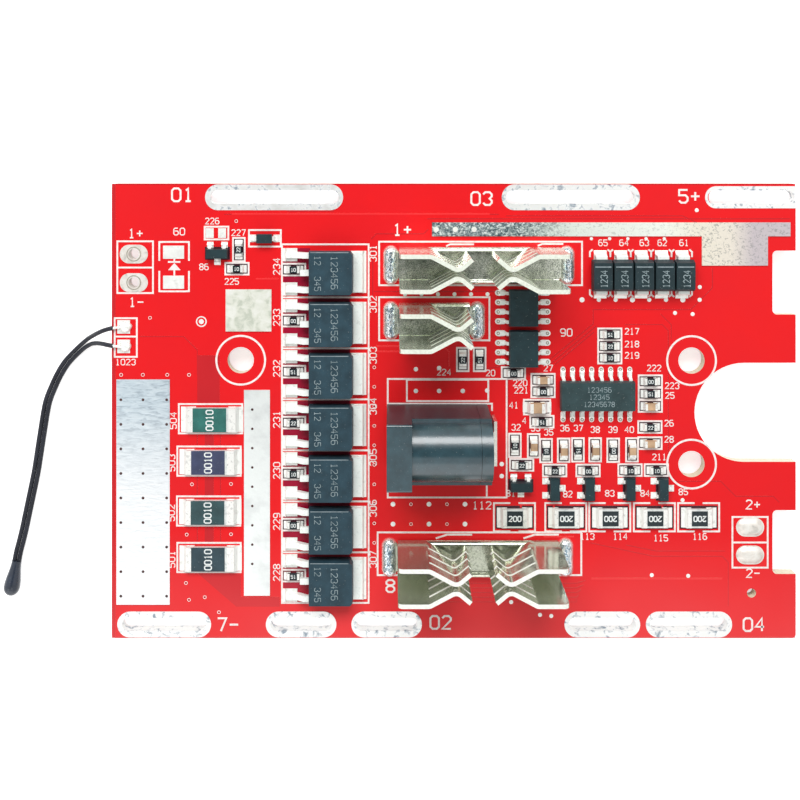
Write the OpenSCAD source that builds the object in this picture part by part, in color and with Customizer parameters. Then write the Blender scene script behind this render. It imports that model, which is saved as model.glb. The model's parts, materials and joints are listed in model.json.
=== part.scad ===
// Battery management board for a tool pack of lithium cells.
// Millimetres. X runs along the board, Y across it and Z up. The board is centred on X and Y,
// and Z = 0 is the plane that the tips of the lead tails stand on.

/* [Board] */
// Length of the laminate
board_l = 91.2; // [90:0.1:110]
// Width of the laminate
board_w = 60.6; // [59:0.1:75]
// Thickness of the laminate
board_t = 1.6; // [0.8:0.1:2.4]
// Radius of the laminate's outer corners
corner_r = 0.5; // [0.1:0.1:1.5]
// How far the lead tails stand out under the laminate
tail_h = 1.3; // [0.9:0.1:2.5]
// Thickness of a tinned land
land_t = 0.06; // [0.04:0.01:0.12]
// Thickness of a bus flooded with solder
bus_t = 0.14; // [0.08:0.01:0.3]

/* [Edge cut-outs and holes] */
// Width of the round-ended cut-out in the right edge
cutout_w = 13.2; // [9:0.1:14]
// Depth of the round-ended cut-out
cutout_depth = 13.5; // [8:0.1:14.5]
// Width of each square notch in the right edge
notch_w = 8.5; // [4:0.1:9]
// Depth of each square notch
notch_depth = 3.1; // [1:0.1:3.5]
// Distance of each notch from the cut-out's centre line
notch_offset = 17.3; // [15:0.1:18]
// Radius in the notches' inner corners
notch_r = 0.6; // [0.2:0.1:1]
// Radius of the screw holes
screw_r = 1.75; // [1.2:0.05:2.2]
// Distance between the two screw holes on the right
screw_spacing = 13.8; // [12:0.1:16]
// Radius of the small locating hole
locating_r = 0.6; // [0.4:0.05:1]

/* [Cell tab slots] */
// Width of the opening in a slot
slot_w = 1.75; // [1.2:0.05:2.2]
// Width of the tinned rim at a slot's long sides
slot_rim = 0.85; // [0.3:0.05:0.95]
// Width of the tinned rim at a slot's ends
slot_end_rim = 0.6; // [0.3:0.05:1]
// Thickness of the plating inside a slot
plating_t = 0.12; // [0.06:0.01:0.25]
// Margin between a slot's rim and the board's edge
slot_margin = 0.1; // [0.05:0.05:1]

/* [Power MOSFETs] */
// Number of MOSFETs in the row
mosfet_count = 7; // [1:1:7]
// Spacing of the MOSFETs
mosfet_pitch = 6.8; // [6.6:0.05:7]
// Length of a MOSFET's moulding along X
mosfet_l = 5.9; // [5.4:0.1:6.4]
// Width of a MOSFET's moulding along Y
mosfet_w = 5.8; // [5.6:0.1:6.3]
// Height of a MOSFET's moulding
mosfet_h = 2.3; // [2:0.05:2.6]
// Thickness of the drain tab and the leads
tab_t = 0.5; // [0.4:0.05:0.6]
// Width of the drain tab
tab_w = 5.3; // [4.6:0.1:5.5]
// How far the drain tab stands out of the moulding
tab_out = 1.2; // [0.8:0.1:1.5]
// How far the outer leads reach from the moulding
mosfet_lead_out = 3.1; // [2.4:0.1:3.4]

/* [Diodes and chips] */
// Number of cell diodes
diode_count = 5; // [1:1:5]
// Spacing of the cell diodes
diode_pitch = 2.72; // [2.7:0.01:2.9]
// Length of a cell diode's moulding
diode_l = 4.2; // [3.8:0.1:4.4]
// Width of a cell diode's moulding
diode_w = 2.6; // [2.2:0.05:2.65]
// Height of a cell diode's moulding above its lands
diode_h = 2.2; // [1.8:0.1:2.4]
// Length of a shunt resistor
shunt_l = 6.4; // [6:0.1:6.8]
// Width of a shunt resistor
shunt_w = 3.2; // [2.8:0.1:3.4]
// Height of a shunt resistor
shunt_h = 0.6; // [0.4:0.05:1]
// Spacing of a gull-wing package's leads
ic_pitch = 1.27; // [1.2:0.01:1.3]
// Width of a gull-wing package's moulding
ic_w = 3.9; // [3.6:0.1:4.1]
// Height of a gull-wing package's moulding above its lands
ic_h = 1.6; // [1.3:0.05:1.8]
// Width over the feet of a gull-wing package
ic_span = 6.0; // [5.8:0.1:6.3]

/* [Contact clips] */
// Height of a clip above the laminate
clip_h = 10.4; // [7:0.1:13]
// Distance between the middles of a clip's two walls
clip_w = 4.35; // [3.8:0.05:4.6]
// Thickness of the clip's sheet
sheet_t = 0.55; // [0.3:0.05:0.6]
// Number of fingers in each wall
finger_count = 4; // [2:1:5]
// Width of the slits between the fingers
slit_w = 0.5; // [0.3:0.05:0.8]
// Length of the plain wall at a clip's end
plain_l = 3.95; // [3:0.05:4.5]
// Length over which the fingers close
closing_l = 3.4; // [2.8:0.05:4]
// Length over which the fingers open again to the mouth
mouth_l = 1.7; // [1.2:0.05:2.2]
// Distance between the middles of the fingers at the pinch
pinch_w = 0.75; // [0.62:0.01:1.2]
// Distance between the middles of the finger tips at the mouth
mouth_w = 3.6; // [2.4:0.1:4]
// Distance between the facing mouths of a double clip
mouth_gap = 3.2; // [2:0.1:4]
// Width of a clip's leg
leg_w = 3.3; // [2.4:0.1:3.8]
// Distance from a wall's end to the middle of the leg
leg_out = 0.52; // [0.45:0.01:0.8]

/* [Charging socket] */
// Length of the moulding and its rear cap
jack_l = 13.3; // [12:0.1:15]
// Width of the moulding
jack_w = 8.4; // [8.3:0.1:9.2]
// Height of the square front
jack_h = 10.8; // [10.6:0.1:12]
// Length of the square front
jack_front_l = 3.15; // [2:0.05:4]
// Height of the bore's axis above the laminate
jack_axis_h = 6.5; // [6.2:0.05:6.6]
// Radius of the rounded top behind the front
jack_barrel_r = 4.05; // [3.8:0.05:4.1]
// Height of the straight sides behind the front
jack_side_h = 7.7; // [6.6:0.1:8]
// Radius of the bore
jack_bore_r = 3.15; // [2.8:0.05:3.3]
// Depth of the bore
jack_bore_depth = 9.5; // [8.6:0.1:9.8]
// Radius of the centre pin
jack_pin_r = 1; // [0.8:0.05:1.25]
// Thickness of the socket's contacts
contact_t = 0.4; // [0.3:0.05:0.5]
// Length of the rear cap
jack_cap_l = 1.45; // [1.4:0.05:2.1]

/* [Temperature probe] */
// Diameter of each insulated wire
wire_d = 0.6; // [0.4:0.05:0.6]
// Largest diameter of the bead
bead_d = 2.1; // [1.4:0.1:2.1]
// Length of the bead
bead_l = 4.6; // [3.5:0.1:6]

/* [Hidden] */
$fn = 48;
numbers = function(n) [for (i = [1:n]) i];

// Surfaces of the board and its edges
under = tail_h;
top = tail_h + board_t;
seat = top + land_t;
east = board_l/2;
west = -board_l/2;
north = board_w/2;
south = -board_w/2;
cutout_y = -0.2;
through = board_t + 1;

// The places below are drawn for a board of 91.2 by 60.6, and another size spreads them out
stretch = [board_l/91.2, board_w/60.6];
spread_x = function(x) x*stretch[0];
spread_y = function(y) y*stretch[1];
spread = function(p) [spread_x(p[0]), spread_y(p[1]), len(p) > 2 ? p[2] : 0];

// Cell tab slots: [centre X, length of the opening]; one more on top runs out to the edge
slot_half_w = slot_w/2 + slot_rim;
slot_web = 0.75;
slot_4 = [spread_x(19.8), 8.9];
slot_5_l = 10.3;
slot_5 = [slot_4[0] + (slot_4[1] + slot_5_l)/2 + 2*slot_end_rim + slot_web, slot_5_l];
top_slots = [[spread_x(-23.95), 17.2], [spread_x(15.6), 17.2]];
bottom_slots = [[spread_x(-38.6), 11.3], [spread_x(-20.35), 8.2], [spread_x(-8.95), 8.2], slot_4,
                slot_5];
top_slot_y = north - slot_margin - slot_half_w;
bottom_slot_y = south + slot_margin + slot_half_w;
edge_slot_l = 11.5;
edge_web = 0.25;
slot_rows = [bottom_slot_y + slot_half_w, top_slot_y - slot_half_w];

// Screw and locating holes
screw_left = [west + 17.2, spread_y(6.75)];
screw_right_x = east - 13.9;
locating_at = [east - 5.9, -24.3];

// Wire lands: [X, Y, open hole or filled]
wire_land_l = 3.75;
wire_land_w = 2.5;
wire_hole_r = 0.72;
wire_lands_at = [[west + 2.95, spread_y(20.9), true], [west + 2.95, spread_y(17.1), true],
                 [east - 6.1, spread_y(-15.5), false], [east - 6.1, spread_y(-19.2), false]];

// Shunt resistors in a column
shunt_x = spread_x(-32.35);
shunt_land_out = 0.95;
shunts_at = [for (p = [[0.15, -1.1], [-0.05, -6.75], [-0.1, -13.4], [-0.05, -19.6]])
    [shunt_x + p[0], spread_y(p[1]), 0]];
shunt_column = shunt_l/2 + shunt_land_out;

// Temperature probe: middle line of the twin lead, [X, Y, Z, half the distance between the wires]
lead_route = [
    [-43.2, 9.9, 3.27, 1.30], [-44.3, 9.9, 3.28, 1.30], [-45.4, 9.9, 3.30, 1.18],
    [-46.4, 9.8, 3.05, 0.98], [-47.3, 9.6, 2.45, 0.76], [-48.2, 9.3, 1.65, 0.56],
    [-49.1, 8.9, 0.95, 0.42], [-50.1, 8.2, 0.50, 0.33], [-51.2, 7.2, 0.34, 0.31],
    [-52.4, 5.9, 0.32, 0.31], [-53.4, 4.3, 0.32, 0.31], [-54.2, 2.6, 0.32, 0.31],
    [-54.9, 0.8, 0.32, 0.31], [-55.3, -1.1, 0.32, 0.31], [-55.6, -3.0, 0.32, 0.31],
    [-55.9, -4.9, 0.32, 0.31], [-56.2, -6.9, 0.32, 0.31], [-56.5, -8.8, 0.32, 0.31],
    [-56.9, -10.8, 0.32, 0.31], [-57.3, -12.7, 0.32, 0.31], [-57.7, -14.6, 0.32, 0.31],
    [-58.1, -16.5, 0.32, 0.31], [-58.5, -18.3, 0.45, 0.31], [-58.8, -19.6, 0.62, 0.31],
    [-59.0, -20.8, 0.74, 0.31]];
bead_neck_r = 0.62;
bead_widest = 0.75;
bead_clearance = 0.01;
probe_land = [1.7, 1.8];
probe_lands_at = [for (s = [-1, 1]) [west + 1.6, lead_route[0][1] + s*lead_route[0][3]]];

// Buses: [low X, low Y] and [high X, high Y]
upper_bus_w = 1.85;
upper_bus_row = spread_y(24.2);
upper_bus = [[spread_x(-2.9), upper_bus_row - upper_bus_w/2],
             [east - 0.75, upper_bus_row + upper_bus_w/2]];
upper_block = [[spread_x(33.05), upper_bus[0][1] - 3.9],
               [east - notch_depth - 0.65, upper_bus[0][1] + 0.1]];
left_bus = [[west + 0.65, slot_rows[0] + 0.95],
            [shunt_x - shunt_column - 1.35, probe_lands_at[0][1] - probe_land[1]/2 - 3.5]];
middle_bus_x = shunt_x + shunt_column + 0.25;
middle_bus = [[middle_bus_x, slot_rows[0] + 2.15], [middle_bus_x + 3.45, screw_left[1] - 3.95]];
test_land_at = spread([-27.35, 13.4]);
test_land_size = [6.1, 5.6];

// MOSFET row: it leaves this share of the free room between the slot rows under it
mosfet_low_share = 0.23;
mosfet_row = (mosfet_count - 1)*mosfet_pitch;
mosfet_room = slot_rows[1] - slot_rows[0] - mosfet_row - mosfet_w;
mosfet_x = spread_x(-16.3);
mosfet_first_y = slot_rows[0] + mosfet_low_share*mosfet_room + mosfet_w/2 + mosfet_row;
mosfet_lead_pitch = 4.57;
mosfet_lead_w = 0.78;
mosfet_exit_h = 1.0;
mosfet_foot_l = 1.5;
mosfet_land_l = 5.8;
stub_out = 1.15;
tab_chamfer = 0.5;

// Leaded packages
diode_middle = spread([24.95, 18.2]);
diode_at = [diode_middle[0] - (diode_count - 1)*diode_pitch/2, diode_middle[1]];
diode_lead_w = 1.5;
diode_span = 5.2;
diode_lead_t = 0.25;
ic_lead_w = 0.42;
ic_lead_t = 0.2;
ic_foot_l = 0.65;
switch_l = 4.9;
switch_gap = 0.5;
switch_middle = spread([9.2, 11.15]);
switch_at = [for (s = [1, -1]) [switch_middle[0], switch_middle[1] + s*(switch_l + switch_gap)/2]];
switch_low_y = switch_at[1][1] - switch_l/2;
monitor_l = 9.9;
monitor_at = spread([19.0, 2.2]);
dimple_r = 0.35;
dimple_depth = 0.08;
dimple_in = 0.8;
transistor_size = [2.9, 1.3, 1.05];
transistor_span = 2.4;
transistor_pitch = 1.9;
transistor_lead = [0.42, 0.13];
transistors_at = [for (p = [
    [-31.5, 21.0, 0], [8.95, -9.95, 0], [13.35, -10.3, 90], [18.0, -10.3, 90],
    [23.4, -10.3, 90], [27.8, -10.3, 90]]) spread(p)];
clamp_diode_at = spread([-25.2, 23.0]);
clamp_diode_size = [2.1, 1.25, 1.0];
clamp_diode_span = 3.5;

// Chips: [length, width, height, length of the end caps]
chip_small = [1.6, 0.85, 0.45, 0.3];
chip_capacitor = [1.6, 0.85, 0.8, 0.3];
chip_medium = [2.0, 1.25, 0.9, 0.45];
chip_balance = [3.2, 2.5, 0.55, 0.5];
chip_shunt = [shunt_l, shunt_w, shunt_h, 0.95];
cap_t = 0.05;
chip_land_out = 0.5;
balance_at = [for (x = [8.1, 14.95, 20.8, 26.75, 32.65]) spread([x, -14.2])];
gate_resistor_at = [-5.05, 0.3];
resistors_at = concat(
    [for (i = [0:mosfet_count - 1])
        [mosfet_x + gate_resistor_at[0], mosfet_first_y + gate_resistor_at[1] - i*mosfet_pitch, 0]],
    [[switch_middle[0] - 1.25, switch_low_y - 0.95, 0]],
    [for (p = [
        [-28.65, 21.5, 90], [-28.9, 18.95, 0], [20.8, 10.2, 0], [20.8, 8.65, 0], [20.8, 7.1, 0],
        [26.2, 3.95, 0], [26.2, 2.3, 0], [11.9, 2.6, 0], [11.75, -1.45, 0], [8.15, -4.6, 90],
        [12.3, -5.3, 90], [16.55, -5.2, 90], [21.25, -5.25, 90], [26.15, -2.15, 0],
        [9.05, -7.2, 0], [13.45, -7.95, 0], [17.9, -7.95, 0], [23.5, -7.9, 0], [27.0, -7.9, 0],
        [1.2, 6.85, 90], [3.45, 6.85, 90]]) spread(p)]);
capacitors_at = [for (p = [
    [11.9, 4.15, 0], [26.2, 0.65, 0], [10.65, -4.65, 90], [14.65, -5.25, 90], [18.85, -5.2, 90],
    [23.75, -5.2, 90], [26.15, -4.3, 0]]) spread(p)];
large_capacitor_at = spread([11.1, 0.5, 0]);

// Empty lands in pairs: [middle, distance between the two, size of each]
empty_pairs = [[spread([-31.7, 23.7]), [1.65, 0], [1.05, 1.3]],
               [spread([-37.35, 19.15]), [0, 4.0], [2.8, 1.75]]];

// Clips: the laminate's top is their Z = 0, and X = 0 is the first wall's end
bend_r = 0.6;
wall_corner_r = 0.7;
base_h = 0.7;
half_clip_l = plain_l + closing_l + mouth_l;
double_clip_l = 2*half_clip_l + mouth_gap;
charge_clip_l = half_clip_l + 0.3;
finger_h = (clip_h - base_h - finger_count*slit_w)/finger_count;
leg_clearance = 0.15;
leg_bend_r = sheet_t/2 + 0.7*leg_clearance;
positive_clip_at = [spread_x(3.35) - double_clip_l/2, spread_y(19.45)];
charge_clip_at = [positive_clip_at[0], spread_y(12.05)];
negative_clip_at = [spread_x(3.15) - double_clip_l/2, spread_y(-19.5)];

// Solder round the legs
mound_l = 5.2;
mound_w = 2.15;
mound_h = 0.95;
mound_shift = 0.55;
fillet_margin = 1.2;
fillet_h = 0.75;

// Charging socket: X = 0 is its front and Z = 0 the laminate's top
jack_at = [spread_x(-2.25) - jack_l/2, spread_y(-3.3)];
jack_cap_x = jack_l - jack_cap_l;
seam_w = 0.04;
pin_clearance = 0.02;
pin_start = 0.9;
pin_tip_l = 0.4;
pin_neck_r = jack_pin_r - 0.2;
pin_rivet_r = pin_neck_r - 0.2;
pin_head_l = 0.2;
contact_w = 3.0;
contact_gap = 0.05;
rear_plate_w = 5.8;
rear_plate_out = 0.6;
rear_leg_x = jack_l + rear_plate_out + contact_t/2;
rear_plate_z = [0.4, 4.0];
pin_strip_top = jack_axis_h + 1.3;
pin_strip_low = 3.6;
bore_floor = jack_axis_h - jack_bore_r;
sleeve_start_x = 2.6;
sleeve_crown_x = 5.2;
sleeve_leg_x = jack_bore_depth - 1.4;
side_leg = [jack_cap_x - contact_w/2 - 0.35, 0.55 - jack_w/2];
side_leg_h = 5;

// ---- Shared outlines and functions ----

// Flat rectangle with round corners, centred
module rounded_rect(l, w, r) {
    square([l - 2*r, w], center = true);
    square([l, w - 2*r], center = true);
    for (x = [-1, 1], y = [-1, 1]) translate([x*(l/2 - r), y*(w/2 - r)]) circle(r);
}

// Flat slot with round ends, centred
module racetrack(l, w) {
    square([l - w, w], center = true);
    for (x = [-1, 1]) translate([x*(l - w)/2, 0]) circle(w/2);
}

// Low solder dome on an oval foot: the middle is an extruded circle segment, the ends are revolved
module oval_dome(l, w, h) {
    r = (w*w/4 + h*h)/(2*h);
    rotate([90, 0, 0]) linear_extrude(l - w, center = true) dome_segment(w, h, r);
    for (y = [-1, 1]) translate([0, y*(l - w)/2, 0])
        rotate_extrude() intersection() {
            dome_segment(w, h, r);
            square([w, h]);
        }
}

module dome_segment(w, h, r) {
    intersection() {
        translate([0, h - r]) circle(r);
        translate([-w/2, 0]) square([w, h]);
    }
}

// Corner i of a path, replaced by an arc of radius r in n steps
function turn_points(p, i, r, n) =
    let (a = (p[i - 1] - p[i])/norm(p[i - 1] - p[i]),
         b = (p[i + 1] - p[i])/norm(p[i + 1] - p[i]),
         half = acos(a*b)/2,
         reach = r/tan(half),
         middle = p[i] + (a + b)/norm(a + b)*r/sin(half),
         from = p[i] + a*reach - middle,
         side = cross([b[0], b[1]], [a[0], a[1]]) > 0 ? 1 : -1,
         sweep = side*(180 - 2*half))
    [for (k = [0:n]) let (t = sweep*k/n)
        middle + [from[0]*cos(t) - from[1]*sin(t), from[0]*sin(t) + from[1]*cos(t)]];

function rounded_path(p, r, n = 5) =
    [for (i = [0:len(p) - 1])
        each (i == 0 || i == len(p) - 1) ? [p[i]] : turn_points(p, i, r, n)];

// Unit normal of a path at point i, lengthened so that both sides stay parallel
function path_normal(p, i) =
    let (last = len(p) - 1,
         a = p[max(i, 1)] - p[max(i, 1) - 1],
         b = p[min(i, last - 1) + 1] - p[min(i, last - 1)],
         na = [-a[1], a[0]]/norm(a),
         nb = [-b[1], b[0]]/norm(b),
         m = (na + nb)/norm(na + nb))
    m/(m*na);

// Strip of even thickness along a path
module ribbon(p, t) {
    last = len(p) - 1;
    polygon(concat(
        [for (i = [0:last]) p[i] + path_normal(p, i)*t/2],
        [for (i = [last:-1:0]) p[i] - path_normal(p, i)*t/2]));
}

// Outline in X and Z, made into a strip of width w in Y
module across(w) {
    rotate([90, 0, 0]) linear_extrude(w, center = true) children();
}

// Outline in Y and Z, made into a bar of length l along X
module along(l) {
    rotate([90, 0, 90]) linear_extrude(l) children();
}

// ---- Laminate, plating and lands ----

module board_outline() {
    difference() {
        rounded_rect(board_l, board_w, corner_r);
        translate([east - cutout_depth + cutout_w/2, cutout_y]) {
            circle(cutout_w/2);
            translate([0, -cutout_w/2]) square([cutout_depth, cutout_w]);
        }
        for (s = [-1, 1]) translate([east, cutout_y + s*notch_offset])
            rounded_rect(2*notch_depth, notch_w, notch_r);
    }
}

// The slot that runs out to the right edge, grown by g on its closed sides
module edge_slot(g) {
    translate([east - edge_slot_l - g, top_slot_y]) intersection() {
        translate([board_l/2, 0]) racetrack(board_l, slot_w + 2*g);
        translate([0, -board_w/2]) square([edge_slot_l + g, board_w]);
    }
}

module leg_slot(w) {
    square([sheet_t + 2*leg_clearance, w + 2*leg_clearance], center = true);
}

module contact_slot() {
    square([contact_t + 2*leg_clearance, contact_w + 2*leg_clearance], center = true);
}

module circuit_board() color([0.84, 0.1, 0.13]) translate([0, 0, under])
    linear_extrude(board_t) difference() {
        board_outline();
        translate(screw_left) circle(screw_r);
        for (s = [-1, 1]) translate([screw_right_x, cutout_y + s*screw_spacing/2]) circle(screw_r);
        translate(locating_at) circle(locating_r);
        for (s = top_slots) translate([s[0], top_slot_y])
            racetrack(s[1] + 2*plating_t, slot_w + 2*plating_t);
        for (s = bottom_slots) translate([s[0], bottom_slot_y])
            racetrack(s[1] + 2*plating_t, slot_w + 2*plating_t);
        edge_slot(plating_t);
        for (w = wire_lands_at) translate([w[0], w[1]]) circle(wire_hole_r + plating_t);
        for (p = leg_places) translate(p) leg_slot(leg_w);
        for (p = contact_places) translate([p[0], p[1]]) rotate(p[2]) contact_slot();
    }

// Plated slot: a sleeve through the laminate with a rim on each face
module slot_eyelet(l) {
    difference() {
        union() {
            linear_extrude(board_t) racetrack(l + 2*plating_t, slot_w + 2*plating_t);
            for (z = [-land_t, board_t]) translate([0, 0, z])
                linear_extrude(land_t) racetrack(l + 2*slot_end_rim, slot_w + 2*slot_rim);
        }
        translate([0, 0, -through/2]) linear_extrude(board_t + through) racetrack(l, slot_w);
    }
}

// The plated slot at the edge, closed by a thin plated web
module edge_eyelet() {
    difference() {
        union() {
            linear_extrude(board_t) edge_slot(plating_t);
            for (z = [-land_t, board_t]) translate([0, 0, z])
                linear_extrude(land_t) intersection() {
                    edge_slot(slot_end_rim);
                    board_outline();
                }
        }
        translate([0, 0, -through/2]) linear_extrude(board_t + through)
            translate([east - edge_web - edge_slot_l/2, top_slot_y])
                racetrack(edge_slot_l, slot_w);
    }
}

module cell_slot_plating() color([0.86, 0.85, 0.8]) translate([0, 0, under]) {
    for (s = top_slots) translate([s[0], top_slot_y]) slot_eyelet(s[1]);
    for (s = bottom_slots) translate([s[0], bottom_slot_y]) slot_eyelet(s[1]);
    edge_eyelet();
}

module upper_bus() color([0.8, 0.8, 0.76]) translate([0, 0, top]) linear_extrude(bus_t) {
    between(upper_bus);
    between(upper_block);
}

module left_bus() color([0.86, 0.86, 0.84]) translate([0, 0, top]) linear_extrude(bus_t)
    between(left_bus);

module middle_bus() color([0.86, 0.86, 0.84]) translate([0, 0, top]) linear_extrude(bus_t) {
    between(middle_bus);
    translate([test_land_at[0], test_land_at[1]]) square(test_land_size, center = true);
}

// Oval wire lands: a plated open hole, or one that is filled and domed with solder
module wire_lands() color([0.8, 0.8, 0.72]) for (w = wire_lands_at) translate([w[0], w[1], under])
    difference() {
        union() {
            translate([0, 0, -land_t]) linear_extrude(land_t) racetrack(wire_land_l, wire_land_w);
            cylinder(h = board_t, r = wire_hole_r + plating_t);
            translate([0, 0, board_t]) linear_extrude(land_t) racetrack(wire_land_l, wire_land_w);
            if (!w[2]) translate([0, 0, board_t + land_t])
                rotate(90) oval_dome(wire_land_l - 0.3, wire_land_w - 0.3, 0.45);
        }
        if (w[2]) translate([0, 0, -through/2]) cylinder(h = board_t + through, r = wire_hole_r);
    }

// Land from x0 to x1 with a hollow fillet of solder that climbs to height h against x = face
module land(x0, x1, face, w, h) {
    d = x1 - face;
    across(w) polygon([[x0, 0], [x1, 0], [x1, land_t], [face + 0.4*d, land_t + 0.18*h],
                       [face, land_t + h], [face, land_t], [x0, land_t]]);
}

// Rectangle from one corner to the other
module between(c) {
    translate(c[0]) square(c[1] - c[0]);
}

module both_ends() {
    children();
    rotate(180) children();
}

module chip_land(chip, reach, climb) {
    both_ends() land(chip[0]/2 - chip[3] - 0.1, chip[0]/2 + reach, chip[0]/2, chip[1] + 0.15,
                     climb*chip[2]);
}

// Lands of a gull-wing pair, round at both ends
module gull_lands(l, span, w) {
    reach = 0.7;
    above = 1;
    both_ends() intersection() {
        land(span/2 - l, span/2 + reach, span/2, w, 0.12);
        translate([(span + reach - l)/2, 0, 0]) linear_extrude(above) racetrack(l + reach, w);
    }
}

module at(p) {
    translate([p[0], p[1], 0]) rotate(p[2]) children();
}

module mosfet_lands() {
    for (s = [-1, 1]) translate([-mosfet_l/2 - mosfet_lead_out, s*mosfet_lead_pitch/2, 0])
        rotate(180) land(-mosfet_foot_l, 0.45, 0, 1.75, 0.3);
    translate([mosfet_l/2 + tab_out, 0, 0]) land(-mosfet_land_l, 0.5, 0, mosfet_w - 0.2, 0.35);
}

module solder_lands() color([0.87, 0.87, 0.83]) translate([0, 0, top]) {
    for (p = resistors_at) at(p) chip_land(chip_small, chip_land_out, 0.7);
    for (p = capacitors_at) at(p) chip_land(chip_capacitor, chip_land_out, 0.5);
    at(large_capacitor_at) chip_land(chip_medium, 0.9, 0.6);
    for (p = balance_at) at(p) chip_land(chip_balance, 0.75, 0.75);
    for (p = shunts_at) at(p) chip_land(chip_shunt, shunt_land_out, 0.75);
    for (p = empty_pairs, s = [-1, 1])
        translate([p[0][0] + s*p[1][0]/2, p[0][1] + s*p[1][1]/2, land_t/2])
            cube([p[2][0], p[2][1], land_t], center = true);
    for (p = probe_lands_at) translate([p[0] - probe_land[0]/2, p[1] - probe_land[1]/2, 0])
        cube([probe_land[0], probe_land[1], land_t]);
    for (i = [0:mosfet_count - 1]) translate([mosfet_x, mosfet_first_y - i*mosfet_pitch, 0])
        mosfet_lands();
    for (i = [0:diode_count - 1]) translate([diode_at[0] + i*diode_pitch, diode_at[1], 0])
        rotate(90) both_ends() land(diode_span/2 - 1.3, diode_span/2 + 0.6, diode_span/2,
                                    diode_lead_w + 0.2, 0.5);
    for (p = switch_at) translate(p) for (i = [-1.5:1:1.5]) translate([0, i*ic_pitch, 0])
        gull_lands(0.8, ic_span, 0.78);
    translate(monitor_at) for (i = [-3.5:1:3.5]) translate([i*ic_pitch, 0, 0])
        rotate(90) gull_lands(0.8, ic_span, 0.65);
    for (p = transistors_at) at(p) {
        for (s = [-1, 1]) translate([s*transistor_pitch/2, 0, 0]) rotate(90) transistor_land();
        rotate(-90) transistor_land();
    }
    at(concat(clamp_diode_at, 0)) both_ends()
        land(clamp_diode_span/2 - 0.6, clamp_diode_span/2 + 0.3, clamp_diode_span/2, 1.0, 0.12);
}

module transistor_land() {
    land(transistor_span/2 - 0.5, transistor_span/2 + 0.35, transistor_span/2, 0.85, 0.1);
}

// ---- Moulded packages ----

// Moulding of l by w from z0 to z1, widest at the parting line zp, with drafted sides
module moulding(l, w, z0, zp, z1, draft_x, draft_y) {
    intersection() {
        across(2*w) drafted_side(l, z0, zp, z1, draft_x);
        rotate(90) across(2*l) drafted_side(w, z0, zp, z1, draft_y);
    }
}

module drafted_side(l, z0, zp, z1, draft) {
    low = l/2 - (zp - z0)*tan(draft);
    high = l/2 - (z1 - zp)*tan(draft);
    polygon([[-low, z0], [low, z0], [l/2, zp], [high, z1], [-high, z1], [-l/2, zp]]);
}

// Formed lead from a moulding's side at x0 and height z down to a foot that ends at x1
module formed_lead(x0, x1, z, foot, t, w) {
    drop = x1 - foot;
    knee = x0 + 0.3*(drop - x0);
    across(w) polygon([[x0, z - t/2], [x0, z + t/2], [knee + t/2, z + t/2], [drop + t/2, t],
                       [x1, t], [x1, 0], [drop - t/2, 0], [knee - t/2, z - t/2]]);
}

module mosfet_tab() {
    x0 = mosfet_l/2 - 5.0;
    translate([x0, -tab_w/2, 0]) cube([5.0 + tab_out, tab_w, tab_t]);
}

module mosfet(i) color([0.2, 0.27, 0.3])
    translate([mosfet_x, mosfet_first_y - (i - 1)*mosfet_pitch, seat]) difference() {
        intersection() {
            moulding(mosfet_l, mosfet_w, 0.03, mosfet_exit_h, mosfet_h, 5, 4);
            linear_extrude(mosfet_h) polygon([
                [-mosfet_l/2, -mosfet_w/2], [mosfet_l/2 - tab_chamfer, -mosfet_w/2],
                [mosfet_l/2, tab_chamfer - mosfet_w/2], [mosfet_l/2, mosfet_w/2 - tab_chamfer],
                [mosfet_l/2 - tab_chamfer, mosfet_w/2], [-mosfet_l/2, mosfet_w/2]]);
        }
        mosfet_tab();
    }

module mosfet_leads(i) color([0.84, 0.84, 0.8])
    translate([mosfet_x, mosfet_first_y - (i - 1)*mosfet_pitch, seat]) {
        mosfet_tab();
        rotate(180) {
            for (s = [-1, 1]) translate([0, s*mosfet_lead_pitch/2, 0])
                formed_lead(mosfet_l/2, mosfet_l/2 + mosfet_lead_out, mosfet_exit_h,
                            mosfet_foot_l, tab_t, mosfet_lead_w);
            translate([mosfet_l/2, -mosfet_lead_w/2, mosfet_exit_h - tab_t/2])
                cube([stub_out, mosfet_lead_w, tab_t]);
        }
    }

module cell_diode(i) color([0.19, 0.25, 0.28])
    translate([diode_at[0] + (i - 1)*diode_pitch, diode_at[1], seat])
        moulding(diode_w, diode_l, 0.3, 1.1, diode_h, 4, 18);

// Lead wrapped from the parting line down the end and in under the moulding
module wrapped_lead() {
    x0 = diode_l/2;
    x1 = diode_span/2;
    t = diode_lead_t;
    across(diode_lead_w) polygon([
        [x0, 1.1 - t/2], [x0, 1.1 + t/2], [x1 - 0.1, 1.1 + t/2], [x1, 1.1], [x1, 0],
        [x1 - 1.2, 0], [x1 - 1.2, t], [x1 - t, t], [x1 - t, 1.1 - t/2]]);
}

module cell_diode_leads() color([0.84, 0.84, 0.8]) for (i = [0:diode_count - 1])
    translate([diode_at[0] + i*diode_pitch, diode_at[1], seat])
        rotate(90) both_ends() wrapped_lead();

// Gull-wing package's moulding with a round dimple beside its first lead
module ic_body(l) {
    difference() {
        moulding(ic_w, l, 0.12, 0.75, ic_h, 7, 7);
        translate([dimple_in - ic_w/2, l/2 - dimple_in, ic_h - dimple_depth])
            cylinder(h = 2*dimple_depth, r = dimple_r);
    }
}

// n leads on each long side
module gull_leads(n) {
    for (i = [0:n - 1]) translate([0, (i - (n - 1)/2)*ic_pitch, 0]) both_ends()
        formed_lead(ic_w/2, ic_span/2, 0.75, ic_foot_l, ic_lead_t, ic_lead_w);
}

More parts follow.
